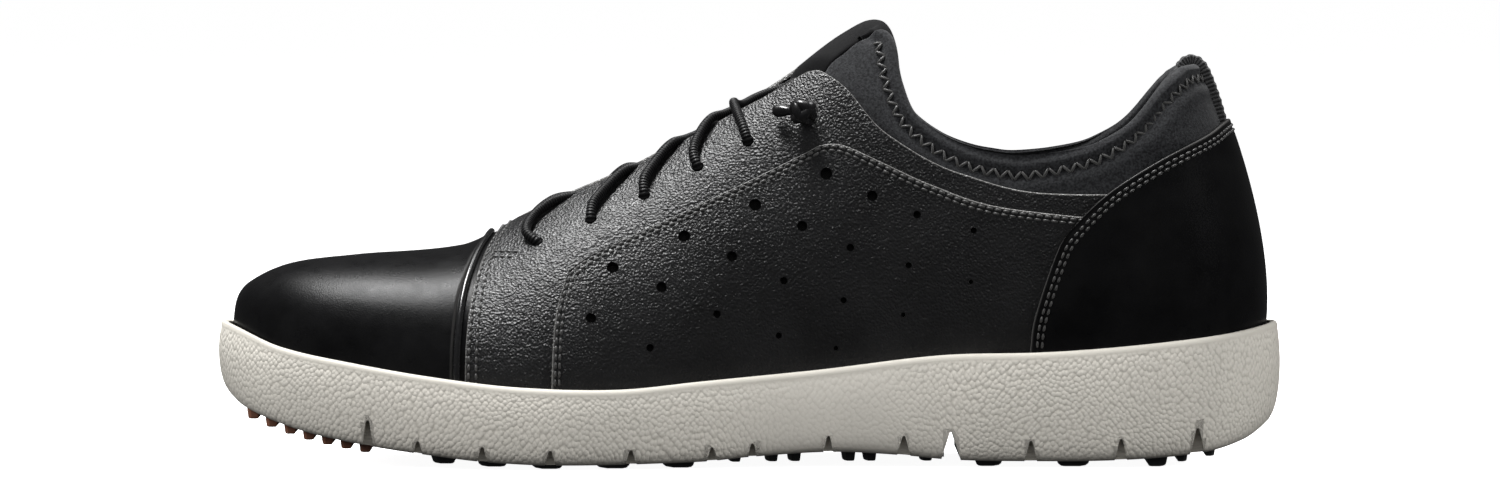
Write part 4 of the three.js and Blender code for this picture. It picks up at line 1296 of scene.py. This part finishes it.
def piping():
    """The glossy cord in the seam between toe cap and vamp."""
    ts = np.linspace(0.02, 1, 90)
    runs = [surf(s, seam_angle(ts, PIPING_SHIFT), ts, PIPING_HEIGHT) for s in SIDES.values()]
    solid = Solid()
    solid.tube(np.vstack([runs[0], runs[1][::-1][1:]]), PIPING_RADIUS, 14)
    return piece("toe_piping_cord", solid, M["piping"], ["toe_piping"], "flex", weld=0, sharp=80)


def seam_bed():
    """The folded strip of black leather that closes the seam between toe cap and vamp."""
    solid = Solid()
    ts = np.linspace(0, 1, 50)
    angles = np.stack([seam_angle(ts, shift) for shift in np.linspace(*SEAM_REACH, 9)])
    grid = np.stack(np.broadcast_arrays(angles, ts[None]), -1)
    for side in SIDES.values():
        solid.ribbon(side, grid, SEAM_STRIP, walls=("u0", "u1", "v0"))
    return piece("seam_strip", solid, M["smooth"], (), "flex")


# ---------------------------------------------------------------- stitches

STITCH_LENGTH, STITCH_PITCH, STITCH_RADIUS = 1.8, 2.4, 0.38
# Rings along one stitch: the place in half lengths, the thickness in radii, and the height in mm.
STITCH_RINGS = np.array([(-1, 0.35, -0.45), (-0.8, 0.75, -0.15), (-0.35, 1, 0.08),
                         (0.35, 1, 0.08), (0.8, 0.75, -0.15), (1, 0.35, -0.45)])
# Where the rows of thread run, in mm inward from the panel's edge or behind the toe cap's seam line.
QUARTER_ROWS, HEEL_ROWS, VAMP_ROWS = (0.95, 2.1), (1.9, 3.3), (VAMP_SETBACK + 1.1, VAMP_SETBACK + 3.2)
# The two short rows that hold the throat's front end, by their heights in side view.
BAR_HEIGHTS = (59.7, 61.1)
THREAD_SINK = 0.12


def stitches(name, rows, motion):
    """Rows of sewn thread. A row is a line of surface points with the normals there."""
    solid = Solid()
    place, swell, lift = STITCH_RINGS.T
    for points, out in rows:
        lengths = arc_lengths(points)
        for k in range(int(lengths[-1] / STITCH_PITCH)):
            places = (k + 0.5) * STITCH_PITCH + place * STITCH_LENGTH / 2
            up = unit(at_lengths(out, lengths, places))
            centres = at_lengths(points, lengths, places) + up * lift[:, None]
            solid.tube(centres, swell * STITCH_RADIUS, 7, up=tuple(up[2]))
    return piece(name, solid, M["thread"], (), motion, weld=0, sharp=80)


def edge_rows(side, edges, layer, inwards, last_angle=math.pi):
    """Rows beside a panel's front and top edge, shifted sideways on its outer face by distances in mm."""
    front, top = edges
    edge = np.vstack([front, top[1:]])
    edge = along(edge[(edge[:, 1] > 0.05) & (edge[:, 0] <= last_angle)], side, np.linspace(0, 1, 240))
    points, out = surf(side, *edge.T, layer[1] - THREAD_SINK), normal(side, *edge.T)
    across = np.cross(unit(np.gradient(points, axis=0)), out) * -side
    return [(points + across * inward, out) for inward in inwards]


def surface_row(side, angles, ts):
    """A row on the vamp's face, with the normals there."""
    return surf(side, angles, ts, 0.05), normal(side, angles, ts)


def all_stitches():
    """Double rows along the quarters, the heel panel and the vamp's front edge, and the throat's bar."""
    heel_rows, vamp_rows = [], []
    for name, side in SIDES.items():
        last_angle = invert(side, [(98, 71)])[0][0]
        quarter_rows = edge_rows(side, quarter_edges(side), OVERLAY, QUARTER_ROWS, last_angle)
        stitches(f"quarter_stitches_{name}", quarter_rows, "flex")
        heel_rows += edge_rows(side, heel_edges(side), HEEL_OVERLAY, HEEL_ROWS)
        ts = np.linspace(0.05, 1, 80)
        vamp_rows += [surface_row(side, seam_angle(ts, shift), ts) for shift in VAMP_ROWS]
        for z in BAR_HEIGHTS:
            spots = invert(side, [(x, z) for x in np.linspace(-73.4, -65.4, 12)])
            vamp_rows.append(surface_row(side, *spots.T))
    stitches("heel_stitches", heel_rows, "root")
    stitches("vamp_stitches", vamp_rows, "flex")


ZIGZAG_HALF_WIDTH, ZIGZAG_PITCH = 1.3, 2.0
# Rings along one stitch of the zig-zag: the share of its length, the height and the radius in mm.
ZIGZAG_RINGS = np.array([(0, -0.35, 0.22), (0.15, 0.05, 0.38), (0.5, 0.1, 0.42), (0.85, 0.05, 0.38),
                         (1, -0.35, 0.22)])


def zigzag():
    """The zig-zag seam below the collar's rolled edge."""
    solid = Solid()
    share, arch, radii = ZIGZAG_RINGS.T[:, :, None]
    for side in SIDES.values():
        line = along(collar_edges(side)[1], side, np.linspace(0, 1, 700))
        place, out = base(side, *line.T), normal(side, *line.T)
        inward = np.cross(unit(np.gradient(place, axis=0)), out) * -side
        middle = place + inward * SEAM_MM + out * (NEOPRENE[1] - 0.05 + heel_pad(place)[:, None])
        lengths = arc_lengths(middle)
        rows = [middle - inward * ZIGZAG_HALF_WIDTH, middle + inward * ZIGZAG_HALF_WIDTH]
        places = np.arange(1.5, lengths[-1] - 3, ZIGZAG_PITCH)
        for k in range(len(places) - 1):
            start = at_lengths(rows[1 - k % 2], lengths, places[k])
            end = at_lengths(rows[k % 2], lengths, places[k + 1])
            up = unit(at_lengths(out, lengths, places[k]))
            solid.tube(start * (1 - share) + end * share + up * arch, radii[:, 0], 7, up=tuple(up))
    return piece("collar_zigzag", solid, M["thread"], (), "fold", weld=0, sharp=80)


# ---------------------------------------------------------------- heel tab

# Side view of the webbing's path, and its thickness, half width, edge rounding and the radius of its sweep
# round the heel.
WEBBING_PATH = [(139.0, 90.5), (137.6, 95), (136.3, 99.5), (134.9, 104.3), (133.0, 109.6), (131.0, 113.9),
                (128.6, 116.2), (126.0, 116.4), (123.6, 114.7), (122.4, 111.5), (122.6, 107), (123.6, 102)]
WEBBING_THICKNESS, WEBBING_HALF_WIDTH, WEBBING_ROUNDING, WEBBING_SWEEP = 1.5, 6.5, 0.35, 26.0
WEBBING_RIB, WEBBING_RIB_PITCH, WEBBING_FILLING = 0.14, 2.3, 2.2


def heel_tab():
    """Ribbed webbing that climbs the heel from under the leather, folds over and runs down inside."""
    path = smooth(WEBBING_PATH, 8)
    ahead = unit(np.gradient(path, axis=0))
    out = np.stack([ahead[:, 1], -ahead[:, 0]], -1)
    run = arc_lengths(path)[:, None]
    edge = np.array([0.93, 0.98, 1])
    ys = WEBBING_HALF_WIDTH * np.concatenate([-edge[::-1], np.linspace(-0.85, 0.85, 13), edge])
    near = np.clip(WEBBING_ROUNDING - WEBBING_HALF_WIDTH + abs(ys), 0, WEBBING_ROUNDING)
    drop = WEBBING_ROUNDING - np.sqrt(WEBBING_ROUNDING ** 2 - near ** 2)
    rib = WEBBING_RIB * np.cos(2 * math.pi * run / WEBBING_RIB_PITCH)
    filling = WEBBING_FILLING * smoothstep(run / 6) * smoothstep((run[-1] - 4 - run) / 8)

    def skin(distance):
        p = path[:, None] + out[:, None] * distance[..., None]
        x = p[..., 0] - ys ** 2 / (2 * WEBBING_SWEEP)
        return solid.skin(np.stack([x, np.broadcast_to(ys, x.shape), p[..., 1]], -1), run + 0 * ys)

    solid = Solid()
    solid.walls_between(skin(rib - drop), skin(drop - WEBBING_THICKNESS - filling))
    return piece("heel_webbing", solid, M["webbing"], ["heel_tab"], "root", sharp=60)


# ---------------------------------------------------------------- sole

sole_growth = profile([(-148, 4), (-110, 4.8), (-60, 5.8), (40, 6.5), (144.3, 7.7)])
recess_growth = profile([(-148, 1.3), (-90, 1.5), (-58, 3), (68, 3), (76, 4.9), (144.3, 5.2)])
sole_bottom = profile([(-152, 22), (-149.4, 20.5), (-144.3, 17), (-134.2, 12.9), (-122.7, 9.6), (-105, 6.3),
                       (-91.8, 4.5), (-75.7, 2.6), (-54.5, 1.6), (-14.3, 2.2), (0, 3.4), (23, 4.6),
                       (43, 3.6), (56, 2.4), (72, 2), (105, 2.4), (129, 4.4), (140.5, 7.5), (147, 11),
                       (152, 14)])
# Flex grooves of the midsole: the place, the height of the root and the width at the ground.
GROOVES = [(-108, 14.2, 4), (-93.8, 8.5, 4), (-75.5, 7, 4), (-56.3, 6, 4), (-33.6, 6, 4), (-10.7, 6.5, 4),
           (0.7, 7.4, 3), (22.2, 9.3, 4), (43.6, 9.3, 5), (57, 10.4, 6), (79.6, 8, 4), (105.1, 8.6, 4),
           (126.9, 11.5, 5)]
THROUGH_GROOVE_X = 57
GROOVE_DEPTH = 6.0
# Half the width of a groove's cutter below the ground, as a share of the groove's width.
GROOVE_SPREAD = 0.68
CUTTER_REACH = 90.0
# The tread lies in a recess under the midsole, this far inside its outline and this deep.
TREAD_INSET = -9.0
TREAD_DEPTH = 2.4
# The lugs' distance inside the tread, their share of the width between them, their size at the top and at
# the ground, and how far they sink into the plate.
LUG_MARGIN, LUG_SHARE, LUG_TOP, LUG_GROUND, LUG_SINK = 1.2, 0.74, 1.12, 0.86, 1.4
# The midsole's cup has its floor this far under the feather line.
FLOOR_DROP = 1.3


def plan_point(side, angle, growth):
    """A point of the plan, moved outward in the plane by a distance."""
    def at(a):
        x = x_at(a)
        full = np.where(side < 0, fullness_medial(x), fullness_lateral(x))
        return np.stack([x, centre_y(x) + side * full * np.sin(a)], -1)

    here = at(angle)
    ahead = at(np.minimum(angle + STEP, math.pi)) - at(np.maximum(angle - STEP, 0))
    out = unit(np.stack([-ahead[..., 1], ahead[..., 0]], -1) * side[..., None])
    out = np.where((angle < STEP)[..., None], [-1.0, 0], out)
    out = np.where((angle > math.pi - STEP)[..., None], [1.0, 0], out)
    return here + out * growth[..., None]


def plan_y(side, angle, growth):
    """Where the midsole's outline passes on one side, moved outward by a distance."""
    return plan_point(np.full(1, side), angle, sole_growth(x_at(angle)) + growth)[0][1]


def ring_stack(rings, stations=260):
    """A closed body from a stack of rings round the plan, each with a growth, a height and a rim value."""
    up = np.linspace(0, math.pi, stations + 1)
    angle = np.concatenate([up, up[-2:0:-1]])
    side = np.concatenate([np.full(stations + 1, MEDIAL), np.full(stations - 1, LATERAL)])
    count = len(angle)
    solid = Solid()
    for growth, height, rim in rings:
        p = plan_point(side, angle, growth(x_at(angle)))
        solid.points.append(np.concatenate([p, height(p[:, 0])[:, None]], 1))
        solid.rims.append(np.full(count, rim))
    run = arc_lengths(plan_point(np.full(stations + 1, MEDIAL), up, sole_growth(x_at(up))))
    solid.runs = np.tile(np.concatenate([run, run[-2:0:-1]]), len(rings))
    ids = np.arange(len(rings) * count).reshape(-1, count)
    nxt = np.roll(ids, -1, 1)
    solid.faces.append(np.stack([ids[:-1], ids[1:], nxt[1:], nxt[:-1]], -1).reshape(-1, 4))
    k = np.arange(1, stations - 1)
    tips = [0, 1, count - 1], [stations, stations + 1, stations - 1]
    for ring in (ids[0], ids[-1]):
        solid.faces.append(np.stack([ring[k], ring[k + 1], ring[count - k - 1], ring[count - k]], -1))
        solid.faces.append([tuple(ring[tip]) for tip in tips])
    return solid


def mixed(share):
    """A height at a share of the way from the bottom of the sole to its rim."""
    return lambda x: rim_height(x) * share + sole_bottom(x) * (1 - share)


def plus(function, extra):
    """A height or growth with a distance added."""
    return lambda x: function(x) + extra


def wedge(x, apex, width, y0, y1):
    """The cutter of a flex groove: a wedge across the sole between two places, with a small round root."""
    half = GROOVE_SPREAD * width
    outline = [(-half, -2.0), (half, -2.0), (0.62, apex - 1.0), (0.42, apex - 0.25), (0, apex),
               (-0.42, apex - 0.25), (-0.62, apex - 1.0)]
    n = len(outline)
    solid = Solid()
    solid.points += [np.array([(x + across, y, z) for across, z in outline]) for y in (y0, y1)]
    solid.rims.append(np.zeros(2 * n))
    ring = np.arange(n)
    solid.faces.append(np.stack([ring, np.roll(ring, -1), np.roll(ring, -1) + n, ring + n], -1))
    solid.faces.append([tuple(ring[::-1]), tuple(ring + n)])
    obj = new_object("wedge", solid, weld=0)
    # The cut walls take this material, whose darker colour is painted shade in the groove.
    obj.data.materials.append(M["groove"])
    return obj


# The midsole's outside from the cup's edge to the recess for the tread, ring by ring. A ring has the growth
# of the outline, a height, and how smooth the foam is, which also darkens it as painted shade: 1 on the lip,
# 0 where the pebbles are. The height counts from the rim, as a share of the wall, or from the bottom.
LIP_RINGS = [(-2.9, 0.1, 1), (-2.2, 0.3, 1), (-1.6, 0.2, 1), (-1.1, -0.2, 1), (-0.8, -0.8, 1),
             (-0.72, -1.5, 0.8), (-0.74, -2.1, 0.2), (-0.6, -2.8, 0)]
WALL_RINGS = [(-0.35, 0.80, 0), (-0.12, 0.71, 0), (0, 0.6, 0), (0, 0.5, 0), (-0.12, 0.4, 0), (-0.35, 0.3, 0),
              (-0.7, 0.21, 0), (-1.2, 0.13, 0), (-1.9, 0.065, 0.3), (-2.8, 0.022, 0.5)]
UNDER_RINGS = [(-4.2, 0, 0.6), (-6, 0.1, 0.6), (TREAD_INSET + 1, 0.3, 0.6), (TREAD_INSET, TREAD_DEPTH, 0.6)]


def midsole():
    """The foam cup under the upper, with its grooves cut in from both sides."""
    rings = [(recess_growth, plus(feather_height, -FLOOR_DROP), 0.6),
             (recess_growth, plus(rim_height, -0.4), 0.6),
             (plus(recess_growth, 0.25), plus(rim_height, -0.1), 1)]
    for table, height in ((LIP_RINGS, lambda h: plus(rim_height, h)), (WALL_RINGS, mixed),
                          (UNDER_RINGS, lambda h: plus(sole_bottom, h))):
        rings += [(plus(sole_growth, growth), height(h), lip) for growth, h, lip in table]
    obj = new_object("midsole_foam", ring_stack(rings), weld=0)
    obj.data.materials.append(M["foam"])
    cutters = []
    for x, apex, width in GROOVES:
        if x == THROUGH_GROOVE_X:
            cutters.append(wedge(x, apex, width, -CUTTER_REACH, CUTTER_REACH))
            continue
        a = angle_at(np.array([x]))
        for side in SIDES.values():
            ends = sorted((plan_y(side, a, 0) - side * GROOVE_DEPTH, side * CUTTER_REACH))
            cutters.append(wedge(x, apex, width, *ends))
    combine(obj, cutters, sharp=32)
    return settle(obj, M["foam"], ["midsole"], "flex")


def tread_plate(x0, x1):
    """The tread's plate between two places along the shoe, as a closed slab."""
    a0, a1 = angle_at(x0), angle_at(min(x1, HEEL_TIP_X - 8))
    angles = np.linspace(a0, a1, 40)
    edges = [plan_point(np.full(40, s), angles, sole_growth(x_at(angles)) + TREAD_INSET - 0.5)
             for s in SIDES.values()]
    w = np.linspace(0, 1, 24)[None, :, None]
    flat = edges[0][:, None] * (1 - w) + edges[1][:, None] * w
    solid = Solid()
    skins = [solid.skin(np.concatenate([flat, (sole_bottom(flat[..., 0]) + lift)[..., None]], -1))
             for lift in (0.4, TREAD_DEPTH - 0.3)]
    solid.walls_between(*skins)
    return new_object("plate", solid, weld=0)


def lug(x, y, length, width, bottom, bow):
    """One lug: a crescent block with rounded edges and sloping sides, from the plate down to the ground."""
    u = np.concatenate([[0, 0.04, 0.12], np.linspace(0.25, 0.75, 5), [0.88, 0.96, 1]])
    v = np.concatenate([[0, 0.03, 0.08], np.linspace(0.15, 0.85, 9), [0.92, 0.97, 1]])
    uu, vv = np.meshgrid(u, v, indexing="ij")
    edge = np.minimum(np.minimum(uu, 1 - uu) * length, np.minimum(vv, 1 - vv) * width)
    radius = 0.22 * length
    near = np.clip(radius - edge, 0, radius)
    rounded = 0.7 * (radius - np.sqrt(np.maximum(0, radius ** 2 - near ** 2)))
    off_middle = (2 * vv - 1) ** 2
    taper = 1 - 0.35 * off_middle

    def skin(scale, height):
        px = x + (uu - 0.5) * length * taper * scale + bow * off_middle
        py = y + (vv - 0.5) * width * scale
        return solid.skin(np.stack([px, py, height + 0 * px], -1))

    solid = Solid()
    solid.walls_between(skin(LUG_TOP, sole_bottom(x) + LUG_SINK), skin(LUG_GROUND, bottom + rounded))
    return new_object("lug", solid, weld=0)


def tread(part, x0, x1, rows, rubber_kind, motion):
    """One part of the tread: a plate between two places along the shoe, with its rows of lugs."""
    plate = tread_plate(x0, x1)
    plate.name = plate.data.name = f"{part}_tread"
    lugs = []
    for x, length, bottom, count, bow in rows:
        a = angle_at(np.array([x]))
        low, high = (plan_y(side, a, TREAD_INSET - LUG_MARGIN) for side in SIDES.values())
        pitch = (high - low) / count
        for k in range(count):
            lugs.append(lug(x, low + pitch * (k + 0.5), length, pitch * LUG_SHARE, bottom, bow))
    combine(plate, lugs, "UNION", sharp=35)
    return settle(plate, M[rubber_kind], [f"outsole_{part}"], motion)


# Rows of lugs across each part of the tread: the place, the length, the height of the ground end, how many
# lugs, and how far the ends of each bow toward the heel.
TOE_LUG_ROWS = [(x, 3.6, float(sole_bottom(x)) - 2.5, 9, 0.4) for x in np.arange(-141.5, -104, 5.4)]
FOREFOOT_LUG_ROWS = [(-87, 7.5, 1.4, 4, 1.4), (-73, 10, 0.6, 4, 1.4), (-57.5, 10.8, 0, 4, 1.4),
                     (-39, 12, 0, 4, 1.4), (-20.4, 11, 0, 4, 1.4)]
WAIST_LUG_ROWS = [(x, 4.2, 1.4, 3, 0.6) for x in (-4.5, 6, 12.5, 28, 34, 50)]
HEEL_LUG_ROWS = [(68, 9, 0, 4, -1.2), (92, 11, 0, 4, -1.2), (116, 6, 0, 4, -1.2), (123, 3.2, 1.4, 5, -0.6),
                 (131, 3.2, 2.8, 5, -0.6)]


def treads():
    tread("toe", -141.5, -97, TOE_LUG_ROWS, "tread_brown", "flex")
    tread("forefoot", -91, -12.5, FOREFOOT_LUG_ROWS, "tread_dark", "flex")
    tread("waist", -8.7, 55, WAIST_LUG_ROWS, "tread_dark", "root")
    tread("heel", 59.5, 150, HEEL_LUG_ROWS, "tread_dark", "root")


def inside_sheet(name, growth, low, high, kind, node):
    """A flat layer inside the shoe with softened edges, between two heights over the feather line."""
    outline = [(growth - 0.6, low), (growth, low + 0.3), (growth, high - 0.4), (growth - 0.5, high)]
    rings = [(lambda x, g=g: g + 0 * x, plus(feather_height, h), 0) for g, h in outline]
    return piece(name, ring_stack(rings, 120), M[kind], [node], "flex", weld=0)


def inside_sheets():
    inside_sheet("lasting_board_sheet", -4.0, 0.3 - FLOOR_DROP, 1.8, "board", "insole_board")
    foam = inside_sheet("footbed_foam_sheet", -4.6, 2.1, 6.4, "footbed_foam", "footbed_foam")
    inside_sheet("footbed_cloth_sheet", -4.6, 6.7, 7.7, "footbed", "footbed_cover")


# ---------------------------------------------------------------- stage

# The middle of the shoe, in metres: the lights and the camera are aimed near it.
LIGHT_TARGET = Vector((0, 0, 0.06))
CAMERA_TARGET = Vector((0, 0, 0.0632))


def area_light(name, place, size, power, mirrored=True):
    """A soft box aimed at the shoe; a fill box lights matt surfaces but isn't mirrored in the leather."""
    data = bpy.data.lights.new(name, "AREA")
    data.shape = "RECTANGLE"
    data.size, data.size_y = size
    data.energy = power
    obj = bpy.data.objects.new(name, data)
    obj.location = place
    obj.rotation_euler = (LIGHT_TARGET - Vector(place)).to_track_quat("-Z", "Y").to_euler()
    obj.visible_glossy = mirrored
    bpy.context.scene.collection.objects.link(obj)


WHITE = (1, 1, 1, 1)
FLOOR_REACH = 12.0


def studio():
    """A pale floor that glows evenly, soft boxes and a faint white surround."""
    scene = bpy.context.scene
    scene.view_settings.view_transform = "Standard"
    world = bpy.data.worlds.new("studio")
    scene.world = world
    world.use_nodes = True
    background = world.node_tree.nodes["Background"]
    background.inputs["Color"].default_value = WHITE
    background.inputs["Strength"].default_value = 0.05
    floor_mesh = bpy.data.meshes.new("floor")
    corners = [(x * FLOOR_REACH, y * FLOOR_REACH, 0) for x, y in ((-1, -1), (1, -1), (1, 1), (-1, 1))]
    floor_mesh.from_pydata(corners, [], [(0, 1, 2, 3)])
    floor = bpy.data.objects.new("floor", floor_mesh)
    scene.collection.objects.link(floor)
    p = Paint("floor_paint")
    p.set(base=p.blend(p.noise(3.0), grey(0.90), grey(0.93)), rough=0.9, specular=0.1)
    p.shader.inputs["Emission Color"].default_value = WHITE
    p.shader.inputs["Emission Strength"].default_value = 0.95
    floor_mesh.materials.append(p.material)
    floor.visible_glossy = False
    floor.visible_diffuse = False
    area_light("key_box", (-0.33, 0.12, 1.5), (0.65, 0.4), 37)
    area_light("top_box", (-0.05, 0.45, 1.3), (1.3, 0.5), 7)
    area_light("front_fill", (0, -1.7, 0.7), (2.0, 1.0), 9, mirrored=False)
    area_light("left_fill", (-1.6, -0.7, 0.8), (1.0, 0.8), 25, mirrored=False)
    area_light("right_fill", (1.6, -0.7, 0.8), (1.0, 0.8), 23, mirrored=False)


# The photograph is 1500 pixels wide, and the 304 mm shoe fills 1060 of them.
PHOTO_PIXELS, PIXEL_MM = 1500, 304 / 1060
CAMERA_DISTANCE, CAMERA_ELEVATION, SENSOR_MM = 3.0, math.radians(2.0), 36


def camera():
    """A long lens beside the shoe, a little above the ground, framed like the photograph."""
    data = bpy.data.cameras.new("camera")
    data.sensor_width = SENSOR_MM
    data.lens = SENSOR_MM * CAMERA_DISTANCE / (PHOTO_PIXELS * PIXEL_MM * MM)
    data.clip_start, data.clip_end = 0.1, 100
    obj = bpy.data.objects.new("camera", data)
    bpy.context.scene.collection.objects.link(obj)
    back = Vector((0, -math.cos(CAMERA_ELEVATION), math.sin(CAMERA_ELEVATION)))
    obj.location = CAMERA_TARGET + back * CAMERA_DISTANCE
    obj.rotation_euler = (-back).to_track_quat("-Z", "Y").to_euler()
    bpy.context.scene.camera = obj


# ---------------------------------------------------------------- everything

camera()
studio()
toe_cap()
seam_bed()
piping()
vamp()
for side_name, side_sign in SIDES.items():
    quarter(side_name, side_sign)
    knot(side_name, side_sign)
heel_panel()
collar()
tongue_top()
tongue_panel()
inside_layers()
lace()
all_stitches()
zigzag()
heel_tab()
midsole()
treads()
inside_sheets()
